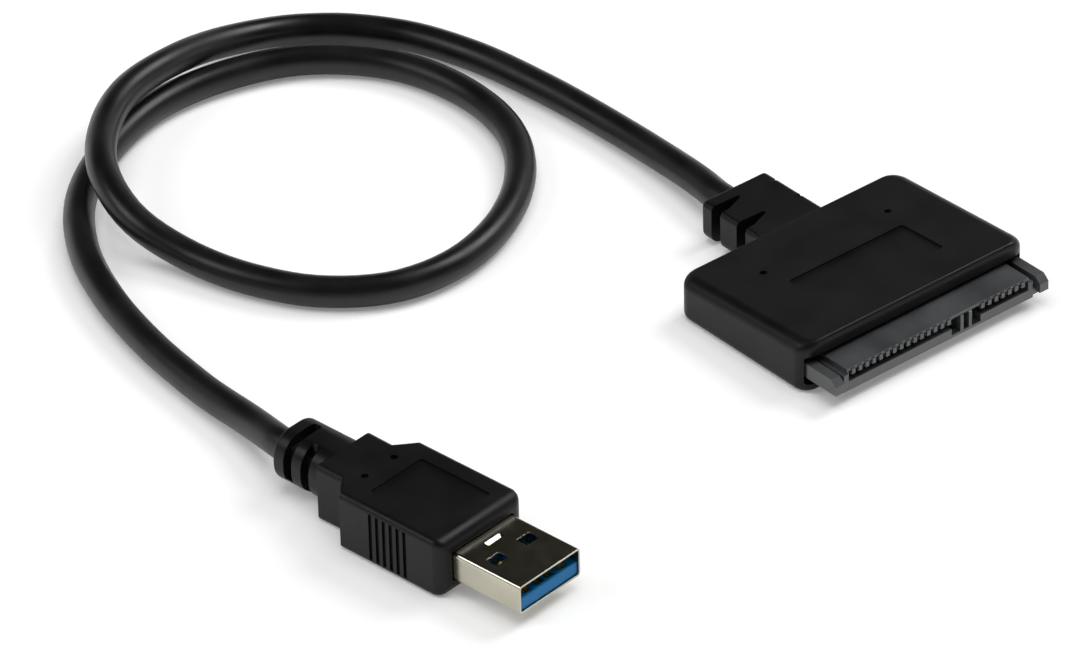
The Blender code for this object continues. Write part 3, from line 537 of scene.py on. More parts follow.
def stretched_noise(tree, stretch, scale, detail, roughness):
    """A noise on object coordinates, stretched along the axes."""
    place = add_node(tree, "ShaderNodeTexCoord").outputs["Object"]
    mapping = set_inputs(add_node(tree, "ShaderNodeMapping"), Vector=place, Scale=stretch)
    noise = set_inputs(
        add_node(tree, "ShaderNodeTexNoise"),
        Vector=mapping.outputs["Vector"],
        Scale=scale,
        Detail=detail,
        Roughness=roughness,
    )
    return noise.outputs["Fac"]


def ranged(tree, value, from_low, from_high, low, high):
    """Maps a value to a range. The range's ends are numbers or sockets."""
    node = add_node(tree, "ShaderNodeMapRange")
    set_inputs(node, Value=value, From_Min=from_low, From_Max=from_high, To_Min=low, To_Max=high)
    return node.outputs["Result"]


def mixed(tree, share, first, second):
    node = add_node(tree, "ShaderNodeMix", data_type="RGBA")
    for index, value in ((0, share), (6, first), (7, second)):
        feed(node.inputs[index], value)
    return node.outputs[2]


def surface_group(name, fine, cloudy, cloud_range, fine_share):
    """A shared surface: colour and roughness drift in clouds, and the fine noise is the bump."""
    made = bpy.data.node_groups.get(name)
    if made is not None:
        return made
    white = (1.0, 1.0, 1.0, 1.0)
    tree, start, end = new_group(
        name,
        (("Main", white), ("Clouded", white), ("Smoothest", 0.3), ("Roughest", 0.5)),
        (("Color", "NodeSocketColor"), ("Roughness", "NodeSocketFloat"), ("Height", "NodeSocketFloat")),
    )
    asked = start.outputs
    grain = stretched_noise(tree, *fine)
    cloud = stretched_noise(tree, *cloudy)
    share = ranged(tree, cloud, *cloud_range, 0.0, 1.0)
    both = calculated(tree, "MULTIPLY_ADD", grain, fine_share, cloud)
    set_inputs(
        end,
        Color=mixed(tree, share, asked["Main"], asked["Clouded"]),
        Roughness=ranged(tree, both, fine_share, 1.0, asked["Smoothest"], asked["Roughest"]),
        Height=grain,
    )
    return tree


def surface_material(name, group, values, bump, bump_distance, **constants):
    """A Principled material fed by one of the shared groups."""
    material = bpy.data.materials.new(name)
    material.use_nodes = True
    tree = material.node_tree
    surface = add_node(tree, "ShaderNodeGroup", node_tree=group)
    for socket, value in zip(surface.inputs, values):
        socket.default_value = value
    made = surface.outputs
    bumped = add_node(tree, "ShaderNodeBump")
    set_inputs(bumped, Strength=bump, Distance=bump_distance, Height=made["Height"])
    set_inputs(
        tree.nodes["Principled BSDF"],
        Base_Color=made["Color"],
        Roughness=made["Roughness"],
        Normal=bumped.outputs["Normal"],
        **constants,
    )
    return material


def tinted(value, factor):
    return tuple(min(part * factor, 1.0) for part in value) + (1.0,)


def moulded(name, value, spread, smoothest, roughest, bump=0.25, gloss=0.5):
    """Moulded plastic: faint cloudy colour, satin roughness and a fine spark-eroded grain."""
    even = (1.0, 1.0, 1.0)
    group = surface_group(
        "moulded_surface", (even, 7000.0, 2.0, 0.7), (even, 160.0, 3.0, 0.5), (0.3, 0.7), 0.5
    )
    values = (tinted(value, 1.0 - spread), tinted(value, 1.0 + spread), smoothest, roughest)
    return surface_material(name, group, values, bump, 0.02 * MM, Specular_IOR_Level=gloss)


def plated(name, value, dull, smoothest, roughest, bump=0.2):
    """Plated sheet: fine rolling lines, handling marks and a slightly uneven roughness."""
    rolled, even = (60.0, 1.5, 60.0), (1.0, 1.0, 1.0)
    group = surface_group(
        "plated_surface", (rolled, 110.0, 3.0, 0.6), (even, 420.0, 4.0, 0.65), (0.4, 0.75), 0.6
    )
    values = (tinted(value, 1.0), tinted(value, dull), smoothest, roughest)
    return surface_material(name, group, values, bump, 0.01 * MM, Metallic=1.0)


# Maker and colour of each finish. Then spread, smoothest, roughest, bump and gloss of a
# moulded one, or how dull its marks are, smoothest and roughest of a plated one.
FINISHES = {
    "housing_satin": (moulded, "housing", 0.25, 0.36, 0.5, 0.25, 0.26),
    "jacket_satin": (moulded, "jacket", 0.3, 0.3, 0.46, 0.35, 0.45),
    "receptacle_grey": (moulded, "receptacle", 0.22, 0.3, 0.46, 0.3, 0.85),
    "tongue_blue": (moulded, "tongue", 0.08, 0.28, 0.4, 0.15, 0.2),
    "shell_nickel": (plated, "nickel", 0.94, 0.14, 0.24),
    "contact_gold": (plated, "gold", 0.85, 0.18, 0.32),
    "contact_tin": (plated, "tin", 0.85, 0.22, 0.38),
    "board_mask": (moulded, "board", 0.2, 0.25, 0.35, 0.2),
    "chip_epoxy": (moulded, "epoxy", 0.3, 0.5, 0.65, 0.4),
    "crystal_lid": (plated, "tin", 0.9, 0.25, 0.35),
    "capacitor_ceramic": (moulded, "ceramic", 0.15, 0.4, 0.55, 0.2),
}


def finish_of(name):
    """The adapter's finish of this name, made the first time it is asked for."""
    maker, tone, *settings = FINISHES[name]
    made = bpy.data.materials.get(name)
    return made or maker(name, getattr(bpy.context.scene.adapter_colours, tone), *settings)


# The drive head


def housing_top(sizes, y):
    """Height of the housing's top, which slopes down from the mouth to the back."""
    share = (y + sizes.front) / sizes.depth
    return sizes.height + (sizes.back_height - sizes.height) * share


def boot_middle(sizes):
    return sizes.back_height - sizes.boot_height / 2


def model_housing(sizes):
    """Housing with round upright corners and a soft round along its whole top and bottom edge."""
    half = sizes.width / 2
    front = -sizes.front
    back = front + sizes.depth
    housing = block("drive_housing", (-half, front, 0.0), (half, back, sizes.height))
    middle = sizes.height / 2
    edit_chosen(
        housing, edges=lambda edge: all(v.co.y > back - TINY and v.co.z > middle for v in edge.verts)
    )
    bpy.ops.transform.translate(value=(0.0, 0.0, sizes.back_height - sizes.height))
    leave_edit()
    round_edges(housing, along(2), sizes.corner, 10)

    def weight_of(first, second):
        if any(abs(point.z - housing_top(sizes, point.y)) > 0.05 * MM for point in (first, second)):
            return 0.0
        lengthwise = abs((second - first).normalized().y)
        return END_ROUND_SHARE + (1.0 - END_ROUND_SHARE) * lengthwise

    bevel_by_weight(housing, sizes.top_round, 8, weight_of)
    return round_edges(housing, in_plane(2, 0.0), sizes.bottom_round, 6)


def model_head_boot(sizes):
    """Strain relief, flush with the housing's top, with two slots cut in from each side."""
    half = sizes.boot_width / 2
    back = -sizes.front + sizes.depth
    tail = back + sizes.boot_length
    high = sizes.back_height
    low = high - sizes.boot_height
    right_half = half + HEAD_BOOT_EXTRA
    boot = block("head_boot", (-half, back - 2 * MM, low), (right_half, tail, high))
    middle = boot_middle(sizes)
    round_edges(boot, along(1, lambda place: place.z < middle), 1.8 * MM, 8)
    round_edges(boot, along(1, lambda place: place.z > high - TINY), 0.8 * MM, 4)
    round_edges(boot, in_plane(1, tail), 0.4 * MM, 3)
    for setback in HEAD_SLOT_SETBACKS:
        slot_back = tail - setback
        left = block(
            "left_slot",
            (-half - PAST, slot_back - sizes.slot_width, -PAST),
            (-half + HEAD_SLOT_REACH, slot_back, ABOVE),
        )
        edit_chosen(left, faces=facing(0, 1))
        bpy.ops.mesh.extrude_region_move(TRANSFORM_OT_translate={"value": (HEAD_SLOT_POINT, 0.0, 0.0)})
        bpy.ops.transform.resize(value=(1.0, 0.25, 1.0), center_override=(0.0, slot_back - 0.2 * MM, 0.0))
        leave_edit()
        carve(boot, left)
        right = block(
            "right_slot",
            (right_half - HEAD_NOTCH_REACH, slot_back - HEAD_NOTCH_WIDTH, -PAST),
            (right_half + PAST, slot_back, ABOVE),
        )
        round_edges(right, along(2, lambda place: place.x < right_half), 0.25 * MM, 4)
        carve(boot, right)
    return boot


def hollow_housing(housing, sizes, drive):
    """Opens the mouth for the receptacle, the pocket for the board and the bore for the cord."""
    front = -sizes.front
    back = front + sizes.depth
    gap = bpy.context.scene.cord_sizes.gap
    mouth_half = drive.ear_half + gap
    mouth = block(
        "mouth",
        (-mouth_half, front - PAST, drive.low - gap),
        (mouth_half, -drive.back + gap, drive.high + MOUTH_HEADROOM),
    )
    round_edges(mouth, along(1), 0.35 * MM, 3)
    carve(housing, mouth)
    pocket_half = sizes.width / 2 - POCKET_WALL
    pocket_back = back - POCKET_BACK
    low_corner = (-pocket_half, -drive.back, POCKET_LOW)
    carve(housing, block("pocket", low_corner, (pocket_half, pocket_back, POCKET_HIGH)))
    radius = bpy.context.scene.cord_sizes.diameter / 2 + BORE_CLEARANCE
    middle = boot_middle(sizes)
    tail = back + sizes.boot_length
    carve(housing, rod("bore", radius, (0.0, pocket_back - gap, middle), (0.0, tail + PAST, middle)))


def carve_dimple(piece, x, y, surface):
    """Cuts a small round moulding dimple into the surface at this height."""
    pit = rod("pit", DIMPLE_RADIUS, (x, y, surface - DIMPLE_DEPTH), (x, y, surface + PAST), 24)
    carve(piece, pit)


def mark_housing(housing, sizes):
    """Lets in the bare label panel and the two moulding dimples."""
    front = -sizes.front
    half = sizes.label_width / 2
    low = front + sizes.label_setback
    high = low + sizes.label_depth
    surface = housing_top(sizes, low)
    panel = block("panel", (-half, low, surface - sizes.label_sink), (half, high, surface + PAST))
    edit_chosen(panel, faces=facing(1, 1))
    bpy.ops.transform.translate(value=(0.0, 0.0, housing_top(sizes, high) - surface))
    leave_edit()
    round_edges(panel, along(2), 0.5 * MM, 5)
    carve(housing, panel)
    y = front + HEAD_DIMPLE_SETBACK
    for x in (-HEAD_DIMPLE_X, HEAD_DIMPLE_X):
        carve_dimple(housing, x, y, housing_top(sizes, y))


class ADAPTER_OT_drive_housing(bpy.types.Operator):
    """Model the drive head's housing with its slotted strain relief"""

    bl_idname = "adapter.drive_housing"
    bl_label = "Drive housing"

    def execute(self, context):
        sizes = context.scene.head_sizes
        drive = context.scene.receptacle_sizes
        housing = model_housing(sizes)
        carve(housing, model_head_boot(sizes), "UNION")
        hollow_housing(housing, sizes, drive)
        mark_housing(housing, sizes)
        finish_piece(housing, finish_of("housing_satin"), sizes.soften)
        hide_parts("sata_overmold")
        return {"FINISHED"}


def contact_places(sizes):
    """X of the first contact of the power row and of the signal row."""
    span = (POWER_CONTACTS + SIGNAL_CONTACTS - 2 + SEGMENT_STEP) * sizes.pitch
    return -span / 2, span / 2 - (SIGNAL_CONTACTS - 1) * sizes.pitch


def slot_ends(sizes):
    """Low and high X of each slot and of the key gap at its inner end."""
    power, signal = contact_places(sizes)
    power_high = power + (POWER_CONTACTS - 1) * sizes.pitch + KEY_REACH
    signal_low = signal - KEY_REACH
    return (
        (power - SLOT_MARGIN, power_high, power_high - KEY_WIDTH, power_high),
        (signal_low, -power + SLOT_MARGIN, signal_low, signal_low + KEY_WIDTH),
    )


def model_receptacle(sizes):
    """Slot body with a stepped top, low wings and a guide ear at each end."""
    low, high = sizes.low, sizes.high
    front, back, tip = -sizes.front, -sizes.back, -sizes.ear_tip
    body = block("drive_receptacle", (-sizes.half, front, low), (sizes.half, back, high))
    for side in (-1, 1):
        edge = side * sizes.half
        step = block(
            "step",
            (edge + side * PAST, front - PAST, high - STEP_DROP),
            (edge - side * STEP_WIDTH, back + PAST, high + PAST),
        )
        carve(body, step)
        ear_inner = side * (sizes.ear_half - sizes.ear_width)
        wing = block(
            "wing",
            (edge - side * PAST, front, low + WING_LIFT),
            (ear_inner + side * PAST / 2, back, low + WING_HIGH),
        )
        carve(body, wing, "UNION")
        ear_high = sizes.ear_low + sizes.ear_height
        ear = block("ear", (ear_inner, tip, sizes.ear_low), (side * sizes.ear_half, back, ear_high))
        carve(body, ear, "UNION")
    return body


def slope_ears(body, sizes):
    """Slopes the ear tips down to the front as a lead-in."""
    top = sizes.ear_low + sizes.ear_height
    tip = -sizes.ear_tip
    wedge = block("wedge", (-WEDGE_HALF, tip - PAST, top - PAST), (WEDGE_HALF, tip + PAST, top + PAST))
    edit_chosen(wedge, faces=facing(2, -1))
    bpy.ops.transform.translate(value=(0.0, 0.0, PAST))
    leave_edit()
    edit_chosen(wedge, edges=lambda edge: all(v.co.y < tip and v.co.z < top + TINY for v in edge.verts))
    bpy.ops.transform.translate(value=(0.0, 0.0, -EAR_LEAD_DROP))
    leave_edit()
    carve(body, wedge)


def cut_slots(body, sizes):
    """Cuts the two L-shaped slots, the slits behind them for the contact tails and the parting groove."""
    front = -sizes.front - PAST
    bottom = -sizes.front + SLOT_DEPTH
    key_floor = sizes.low + KEY_FLOOR
    ends = slot_ends(sizes)
    for low, high, key_low, key_high in ends:
        slot = block("slot", (low, front, sizes.slot_low), (high, bottom, sizes.slot_high))
        key = block("key", (key_low, front, key_floor), (key_high, bottom, sizes.slot_high))
        carve(slot, key, "UNION")
        carve(body, slot)
        slit = block(
            "slit",
            (low, bottom - PAST, sizes.slot_high - TAIL_SLIT),
            (high, -sizes.back + PAST, sizes.slot_high),
        )
        carve(body, slit)
    middle = (ends[0][1] + ends[1][0]) / 2
    half = PARTING_GROOVE / 2
    groove = block("groove", (middle - half, front, key_floor), (middle + half, bottom, sizes.slot_high))
    carve(body, groove)


def add_teeth(body, sizes):
    """Hangs a comb from the slots' front edge, with one tooth before each contact."""
    power, signal = contact_places(sizes)
    front = TOOTH_INSET - sizes.front
    half = TOOTH_WIDTH / 2
    tooth = block(
        "tooth",
        (power - half, front, sizes.slot_high - TOOTH_HEIGHT),
        (power + half, front + TOOTH_DEPTH, sizes.slot_high + 0.2 * MM),
    )
    places = [power + index * sizes.pitch for index in range(1, POWER_CONTACTS)]
    places += [signal + index * sizes.pitch for index in range(SIGNAL_CONTACTS)]
    carve(body, copies(tooth, [(x - power, 0.0, 0.0) for x in places]), "UNION")


class ADAPTER_OT_drive_receptacle(bpy.types.Operator):
    """Model the keyed drive receptacle"""

    bl_idname = "adapter.drive_receptacle"
    bl_label = "Drive receptacle"

    def execute(self, context):
        sizes = context.scene.receptacle_sizes
        body = model_receptacle(sizes)
        slope_ears(body, sizes)
        cut_slots(body, sizes)
        add_teeth(body, sizes)
        finish_piece(body, finish_of("receptacle_grey"), sizes.soften)
        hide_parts("sata_receptacle")
        return {"FINISHED"}


class ADAPTER_OT_drive_contacts(bpy.types.Operator):
    """Dress the drive contacts"""

    bl_idname = "adapter.drive_contacts"
    bl_label = "Drive contacts"

    def execute(self, context):
        dress(numbered("power_contact", POWER_CONTACTS), "contact_tin")
        dress(numbered("signal_contact", SIGNAL_CONTACTS), "contact_tin")
        return {"FINISHED"}


class ADAPTER_OT_board(bpy.types.Operator):
    """Dress the converter board and what is on it"""

    bl_idname = "adapter.board"
    bl_label = "Converter board"

    def execute(self, context):
        dress(["circuit_board"], "board_mask")
        dress(["bridge_chip", "voltage_regulator"], "chip_epoxy")
        dress(["clock_crystal"], "crystal_lid")
        dress(numbered("capacitor", 4), "capacitor_ceramic")
        return {"FINISHED"}


# The USB plug


def model_grip(sizes):
    """Grip extruded back into its taper and neck, with a wide round round the shell."""
    half = sizes.width / 2
    front = sizes.shell_length
    end = front + sizes.body_length
    grip = block("plug_grip", (-half, front, 0.0), (half, end, sizes.height))
    edit_chosen(grip, faces=facing(1, 1))
    bpy.ops.mesh.extrude_region_move(TRANSFORM_OT_translate={"value": (0.0, sizes.taper_length, 0.0)})
    bpy.ops.transform.resize(
        value=(sizes.neck_width / sizes.width, 1.0, 1.0),
        center_override=(0.0, end + sizes.taper_length, sizes.height / 2),
    )
    bpy.ops.mesh.extrude_region_move(TRANSFORM_OT_translate={"value": (0.0, sizes.neck_length, 0.0)})
    leave_edit()
    small = sizes.edge_round / sizes.front_round

    def weight_of(first, second):
        if max(first.y, second.y) < front + TINY:
            return 1.0
        level = abs(first.z - second.z) < TINY
        return small if level and abs(first.y - second.y) > TINY else 0.0

    return bevel_by_weight(grip, sizes.front_round, 6, weight_of)


def model_plug_boot(sizes):
    """Round-cornered strain relief with crescent slots from the left and short ones from the right."""
    half = sizes.boot_width / 2
    middle = sizes.height / 2
    start = sizes.shell_length + sizes.body_length + sizes.taper_length
    tail = start + sizes.neck_length + sizes.boot_length + PLUG_BOOT_TAIL
    low = middle - sizes.boot_height / 2 + PLUG_BOOT_LIFT
    high = middle + sizes.boot_height / 2 + PLUG_BOOT_CROWN
    boot = block("plug_boot", (-half, start, low), (half, tail, high))
    round_edges(boot, along(1), sizes.boot_round, 10)
    round_edges(boot, in_plane(1, tail), 0.5 * MM, 4)
    core = bpy.context.scene.cord_sizes.diameter / 2 + PLUG_SLOT_CORE
    for setback, reach, closed in PLUG_SLOTS:
        back = tail - setback
        front = back - PLUG_SLOT_WIDTH
        cutter = block("left", (-2 * half, front, closed), (-core, back, ABOVE))
        top = block("top", (-2 * half, front, middle + core), (reach, back, ABOVE))
        round_edges(top, along(2, lambda place: place.x > reach - TINY), 0.6 * MM, 5)
        carve(cutter, top, "UNION")
        carve(boot, cutter)
        right = block("right", (core + 0.3 * MM, front, -PAST), (2 * half, back, middle))
        carve(boot, right)
    return boot


def cut_grip(grip, sizes):
    """Cuts the finger grooves, the bare panel and the dimples."""
    half = sizes.width / 2
    top = sizes.height
    first = sizes.shell_length + GRIP_SETBACK
    steps = [(0.0, index * GRIP_PITCH, 0.0) for index in range(1, GRIP_GROOVES)]
    for side in (-1, 1):
        groove = block(
            "groove",
            (side * (half - GRIP_GROOVE_DEPTH), first - GRIP_GROOVE_HALF, GRIP_GROOVE_RIM),
            (side * (half + PAST), first + GRIP_GROOVE_HALF, top - GRIP_GROOVE_RIM),
        )
        round_edges(groove, along(1, lambda place: abs(place.x) < half), 0.3 * MM, 4)
        round_edges(groove, along(2, lambda place: abs(place.x) < half), 0.2 * MM, 4)
        carve(grip, copies(groove, steps))
    low = sizes.shell_length + PANEL_SETBACK
    high = low + PANEL_LENGTH
    panel = block("panel", (-PANEL_HALF, low, top - PANEL_SINK), (PANEL_HALF, high, top + PAST))
    round_edges(panel, along(2), 0.4 * MM, 5)
    carve(grip, panel)
    for x in (-PLUG_DIMPLE_X, PLUG_DIMPLE_X):
        carve_dimple(grip, x, sizes.shell_length + PLUG_DIMPLE_SETBACK, top)


def hollow_grip(grip, sizes):
    """Opens the socket of the shell and the bore of the cord."""
    gap = bpy.context.scene.cord_sizes.gap
    half = sizes.shell_width / 2 + gap / 2
    middle = sizes.height / 2
    front = sizes.shell_length
    tall = sizes.shell_height / 2 + gap / 2
    end = front + SOCKET_DEPTH
    socket = block("socket", (-half, front - PAST, middle - tall), (half, end, middle + tall))
    round_edges(socket, along(1), 0.5 * MM, 4)
    carve(grip, socket)
    radius = bpy.context.scene.cord_sizes.diameter / 2 + BORE_CLEARANCE
    carve(grip, rod("bore", radius, (0.0, front + SHELL_TAIL, middle), (0.0, BORE_END, middle)))


class ADAPTER_OT_plug_grip(bpy.types.Operator):
    """Model the USB plug's moulded grip with its slotted strain relief"""

    bl_idname = "adapter.plug_grip"
    bl_label = "Plug grip"

    def execute(self, context):
        sizes = context.scene.plug_sizes
        grip = model_grip(sizes)
        carve(grip, model_plug_boot(sizes), "UNION")
        cut_grip(grip, sizes)
        hollow_grip(grip, sizes)
        finish_piece(grip, finish_of("housing_satin"), soften=0.12 * MM, pose=PLUG_POSE)
        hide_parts("usb_overmold")
        return {"FINISHED"}


def model_shell(sizes):
    """Folded sheet tube with latch windows, the stop tab's slot and the seam underneath."""
    half = sizes.shell_width / 2
    middle = sizes.height / 2
    tall = sizes.shell_height / 2
    end = sizes.shell_length + SHELL_TAIL
    shell = block("plug_shell", (-half, 0.0, middle - tall), (half, end, middle + tall))
    round_edges(shell, along(1), 0.55 * MM, 6)
    sheet = sizes.sheet
    inside = block(
        "inside",
        (-half + sheet, -PAST, middle - tall + sheet),
        (half - sheet, end + PAST, middle + tall - sheet),
    )
    round_edges(inside, along(1), 0.3 * MM, 5)
    carve(shell, inside)
    for x in (-WINDOW_X, WINDOW_X):
        low_corner = (x - WINDOW_HALF, WINDOW_FRONT, -PAST)
        window = block("window", low_corner, (x + WINDOW_HALF, WINDOW_BACK, ABOVE))
        round_edges(window, along(2), 0.2 * MM, 4)
        carve(shell, window)
    carve(shell, block("slot", (-TAB_SLOT_HALF, TAB_FRONT, middle), (TAB_SLOT_HALF, TAB_BACK, ABOVE)))
    seam = block("seam", (-SEAM_HALF, -PAST, -PAST), (SEAM_HALF, end + PAST, middle))
    return carve(shell, seam)


def model_stop_tab(sizes):
    """Sheet tab bent down into its slot, leaning back to the mouth."""
    top = sizes.height / 2 + sizes.shell_height / 2
    tab = block(
        "stop_tab",
        (-TAB_HALF, TAB_FRONT + TAB_GAP, top - sizes.sheet),
        (TAB_HALF, TAB_BACK, top - TAB_SINK),
    )
    edit_chosen(tab, faces=facing(1, -1))
    bpy.ops.transform.translate(value=(0.0, 0.0, -TAB_DROP))
    leave_edit()
    return tab


class ADAPTER_OT_plug_shell(bpy.types.Operator):
    """Model the USB plug's folded metal shell"""

    bl_idname = "adapter.plug_shell"
    bl_label = "Plug shell"

    def execute(self, context):
        sizes = context.scene.plug_sizes
        nickel = finish_of("shell_nickel")
        shell = finish_piece(model_shell(sizes), nickel, soften=0.05 * MM, pose=PLUG_POSE)
        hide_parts("usb_shell")
        finish_piece(model_stop_tab(sizes), nickel, soften=0.03 * MM, pose=PLUG_POSE)
        return {"FINISHED"}


PLUG_CONTACTS = numbered("usb_flat_contact", 4) + numbered("usb_spring_contact", 5)


class ADAPTER_OT_plug_tongue(bpy.types.Operator):
    """Model the blue insulator tongue and dress its contacts"""

    bl_idname = "adapter.plug_tongue"
    bl_label = "Plug tongue"

    def execute(self, context):
        sizes = context.scene.plug_sizes
        half = sizes.shell_width / 2 - sizes.sheet - TONGUE_SIDE_GAP
        floor = (sizes.height - sizes.shell_height) / 2 + sizes.sheet + TONGUE_FLOOR_GAP
        top = floor + TONGUE_RAISE + sizes.tongue
        ceiling = (sizes.height + sizes.shell_height) / 2 - sizes.sheet - TONGUE_TOP_GAP
        end = sizes.shell_length + TONGUE_TAIL
        tongue = block("plug_tongue", (-half, TONGUE_FRONT, floor), (half, end, top))
        round_edges(tongue, in_plane(1, TONGUE_FRONT), 0.15 * MM, 3)
        riser = block("riser", (-half, end - RISER_LENGTH, floor), (half, end, ceiling))
        carve(tongue, riser, "UNION")
        for x in FLAT_CONTACT_X:
            bed = block(
                "bed",
                (x - CONTACT_BED_HALF, CONTACT_BED_FRONT, top - CONTACT_BED_DEPTH),
                (x + CONTACT_BED_HALF, CONTACT_BED_BACK, top + PAST),
            )
            carve(tongue, bed)
        finish_piece(tongue, finish_of("tongue_blue"), soften=0.04 * MM, pose=PLUG_POSE)
        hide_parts("usb_insulator")
        dress(PLUG_CONTACTS, "contact_gold")
        return {"FINISHED"}


# The cord


def smooth_path(points, per_span=12):
    """Centripetal Catmull-Rom curve through the points, as closely spaced points."""
    ends = [2 * points[0] - points[1]] + points + [2 * points[-1] - points[-2]]
    path = []
    for index in range(1, len(ends) - 2):
        p0, p1, p2, p3 = ends[index - 1 : index + 3]
        t1 = (p1 - p0).length ** 0.5
        t2 = t1 + (p2 - p1).length ** 0.5
        t3 = t2 + (p3 - p2).length ** 0.5
        for step in range(per_span):
            t = t1 + (t2 - t1) * step / per_span
            a1 = p0.lerp(p1, t / t1)
            a2 = p1.lerp(p2, (t - t1) / (t2 - t1))
            a3 = p2.lerp(p3, (t - t2) / (t3 - t2))
            b1 = a1.lerp(a2, t / t2)
            b2 = a2.lerp(a3, (t - t1) / (t3 - t1))
            path.append(b1.lerp(b2, (t - t1) / (t2 - t1)))
    return path + [points[-1]]


def spaced(path, step):
    """Points at even distances along a path, its two ends included."""
    lengths = [0.0]
    for before, after in zip(path, path[1:]):
        lengths.append(lengths[-1] + (after - before).length)
    count = round(lengths[-1] / step)
    result = []
    index = 0
    for number in range(count + 1):
        wanted = lengths[-1] * number / count
        while index < len(path) - 2 and lengths[index + 1] < wanted:
            index += 1
        share = (wanted - lengths[index]) / (lengths[index + 1] - lengths[index])
        result.append(path[index].lerp(path[index + 1], min(share, 1.0)))
    return result


def cord_points(scene):
    """The cord's centre line from the head's strain relief to the plug's."""
    head, plug, cord = scene.head_sizes, scene.plug_sizes, scene.cord_sizes
    head_tail = -head.front + head.depth + head.boot_length + cord.gap
    grip_tail = plug.shell_length + plug.body_length + plug.taper_length + plug.neck_length
    plug_tail = grip_tail + plug.boot_length + cord.gap
    head_exit = Vector((0.0, head_tail, boot_middle(head)))
    head_lead = head_exit + Vector((0.0, cord.lead, 0.0))
    plug_exit = PLUG_POSE @ Vector((0.0, plug_tail, plug.height / 2))
    plug_lead = PLUG_POSE @ Vector((0.0, plug_tail + cord.lead, plug.height / 2))
    route = [head_lead] + [Vector(point) * MM for point in CABLE_ROUTE_MM] + [plug_lead]
    points = [head_exit] + spaced(smooth_path(route), cord.step) + [plug_exit]
    return [Vector((p.x, p.y, max(p.z, cord.diameter / 2))) for p in points]


class ADAPTER_OT_cord(bpy.types.Operator):
    """Lay the round cord along its route"""

    bl_idname = "adapter.cord"
    bl_label = "Cord"

    def execute(self, context):
        points = cord_points(context.scene)
        curve = bpy.data.curves.new("cord", "CURVE")
        curve.dimensions = "3D"
        curve.bevel_depth = context.scene.cord_sizes.diameter / 2
        curve.bevel_resolution = 8
        curve.use_fill_caps = True
        spline = curve.splines.new("POLY")
        spline.points.add(len(points) - 1)
        for spline_point, point in zip(spline.points, points):
            spline_point.co = (*point, 1.0)
        spline.use_smooth = True
        curve.materials.append(finish_of("jacket_satin"))
        cord = bpy.data.objects.new("cord", curve)
        context.scene.collection.objects.link(cord)
        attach(cord, BODY)
        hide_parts("cable")
        dress(["head_cable_end", "plug_cable_end"], "jacket_satin")
        return {"FINISHED"}


def declare_cord(scene):
    """Works out the cord's points; nothing is done with them."""
    points = cord_points(scene)


# The stage


def make_floor(tone):
    """A large pale floor that stays white where nothing shades it."""
    bpy.ops.object.select_all(action="DESELECT")
    bpy.ops.mesh.primitive_plane_add(size=FLOOR_SIZE, location=(0.0, 0.0, 0.0))
    floor = bpy.context.object
    floor.name = "floor"
    material = bpy.data.materials.new("floor_white")
    material.use_nodes = True
    tree = material.node_tree
    tree.nodes.clear()
    diffuse = set_inputs(add_node(tree, "ShaderNodeBsdfDiffuse"), Color=(*tone, 1.0))
    rays = add_node(tree, "ShaderNodeLightPath").outputs
    seen = calculated(tree, "MAXIMUM", rays["Is Camera Ray"], rays["Is Glossy Ray"])
    seen = calculated(tree, "MAXIMUM", seen, rays["Is Transmission Ray"])
    level = calculated(tree, "MULTIPLY", seen, FLOOR_GLOW)
    glow = set_inputs(add_node(tree, "ShaderNodeEmission"), Strength=level)
    both = add_node(tree, "ShaderNodeAddShader")
    feed(both.inputs[0], diffuse.outputs[0])
    feed(both.inputs[1], glow.outputs[0])
    set_inputs(add_node(tree, "ShaderNodeOutputMaterial"), Surface=both.outputs[0])
    floor.data.materials.append(material)


def make_world():
    """A studio that is white round the horizon and dark overhead."""
    world = bpy.data.worlds.new("studio")
    bpy.context.scene.world = world
    world.use_nodes = True
    tree = world.node_tree
    place = add_node(tree, "ShaderNodeTexCoord")
    split = add_node(tree, "ShaderNodeSeparateXYZ")
    ramp = add_node(tree, "ShaderNodeValToRGB")
    tree.links.new(place.outputs["Generated"], split.inputs[0])
    tree.links.new(split.outputs["Z"], ramp.inputs["Fac"])
    tree.links.new(ramp.outputs["Color"], tree.nodes["Background"].inputs["Color"])
    steps = ramp.color_ramp.elements
    steps[0].position, steps[0].color = WHITE_BELOW, (1.0, 1.0, 1.0, 1.0)
    steps[1].position, steps[1].color = DARK_ABOVE, OVERHEAD_TONE


def make_lamp(name, place, aim, size, power, mirrored=True):
    """A soft round lamp. One that isn't mirrored leaves gloss and metal dark."""
    data = bpy.data.lights.new(name, "AREA")
    data.shape = "DISK"
    data.size = size
    data.energy = power
    lamp = bpy.data.objects.new(name, data)
    bpy.context.scene.collection.objects.link(lamp)
    lamp.location = place
    lamp.rotation_mode = "QUATERNION"
    lamp.rotation_quaternion = (Vector(aim) - Vector(place)).to_track_quat("-Z", "Y")
    lamp.visible_glossy = mirrored


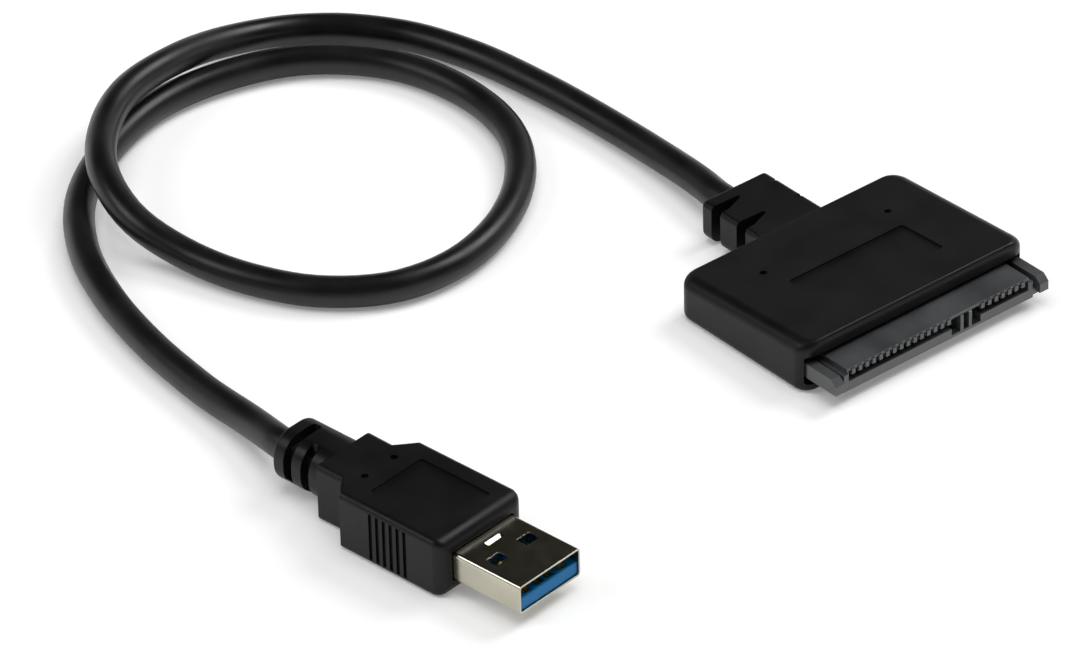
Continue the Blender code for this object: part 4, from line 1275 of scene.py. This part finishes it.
def make_camera():
    """Long lens at the photograph's angle."""
    data = bpy.data.cameras.new("camera")
    data.sensor_width = SENSOR_WIDTH
    data.lens = SENSOR_WIDTH * FOCAL_PIXELS / PHOTO_WIDTH
    data.clip_end = 10.0
    camera = bpy.data.objects.new("camera", data)
    bpy.context.scene.collection.objects.link(camera)
    flat = math.cos(CAMERA_ELEVATION)
    x, y = math.sin(CAMERA_AZIMUTH) * flat, -math.cos(CAMERA_AZIMUTH) * flat
    back = Vector((x, y, math.sin(CAMERA_ELEVATION)))
    roll = Quaternion((0.0, 0.0, 1.0), CAMERA_ROLL)
    camera.location = CAMERA_AIM + back * CAMERA_DISTANCE
    camera.rotation_mode = "QUATERNION"
    camera.rotation_quaternion = (-back).to_track_quat("-Z", "Y") @ roll
    bpy.context.scene.camera = camera


class ADAPTER_OT_stage(bpy.types.Operator):
    """Set the camera, the pale floor and the soft lamps"""

    bl_idname = "adapter.stage"
    bl_label = "Stage"

    def execute(self, context):
        make_camera()
        make_floor(context.scene.adapter_colours.floor)
        make_world()
        middle = (-0.04, 0.03, 0.0)
        make_lamp("key", (0.75, -0.05, 0.85), middle, 0.6, 6.0)
        make_lamp("left", (-0.75, 0.5, 0.75), middle, 0.5, 2.5)
        make_lamp("overhead", (-0.1, -0.1, 1.1), middle, 1.1, 8.0, mirrored=False)
        context.scene.view_settings.view_transform = "Standard"
        return {"FINISHED"}


STEPS = (
    ADAPTER_OT_stage,
    ADAPTER_OT_cord,
    ADAPTER_OT_drive_housing,
    ADAPTER_OT_drive_receptacle,
    ADAPTER_OT_drive_contacts,
    ADAPTER_OT_board,
    ADAPTER_OT_plug_grip,
    ADAPTER_OT_plug_shell,
    ADAPTER_OT_plug_tongue,
)


class ADAPTER_PT_pieces(bpy.types.Panel):
    """Lists the pieces of the adapter"""

    bl_idname = "ADAPTER_PT_pieces"
    bl_label = "USB to SATA adapter"
    bl_space_type = "VIEW_3D"
    bl_region_type = "UI"
    bl_category = "Adapter"

    def draw(self, context):
        for step in STEPS:
            self.layout.operator(step.bl_idname)


GROUPS = {
    "head_sizes": HeadSizes,
    "receptacle_sizes": ReceptacleSizes,
    "plug_sizes": PlugSizes,
    "cord_sizes": CordSizes,
    "adapter_colours": AdapterColours,
}


def register():
    for name, group in GROUPS.items():
        bpy.utils.register_class(group)
        setattr(bpy.types.Scene, name, PointerProperty(type=group))
    for step in STEPS:
        bpy.utils.register_class(step)
    bpy.utils.register_class(ADAPTER_PT_pieces)


def unregister():
    bpy.utils.unregister_class(ADAPTER_PT_pieces)
    for step in reversed(STEPS):
        bpy.utils.unregister_class(step)
    for name, group in GROUPS.items():
        delattr(bpy.types.Scene, name)
        bpy.utils.unregister_class(group)


def main():
    register()
    for step in STEPS:
        group, name = step.bl_idname.split(".")
        getattr(getattr(bpy.ops, group), name)()
    declare_cord(bpy.context.scene)


if __name__ == "__main__":
    main()
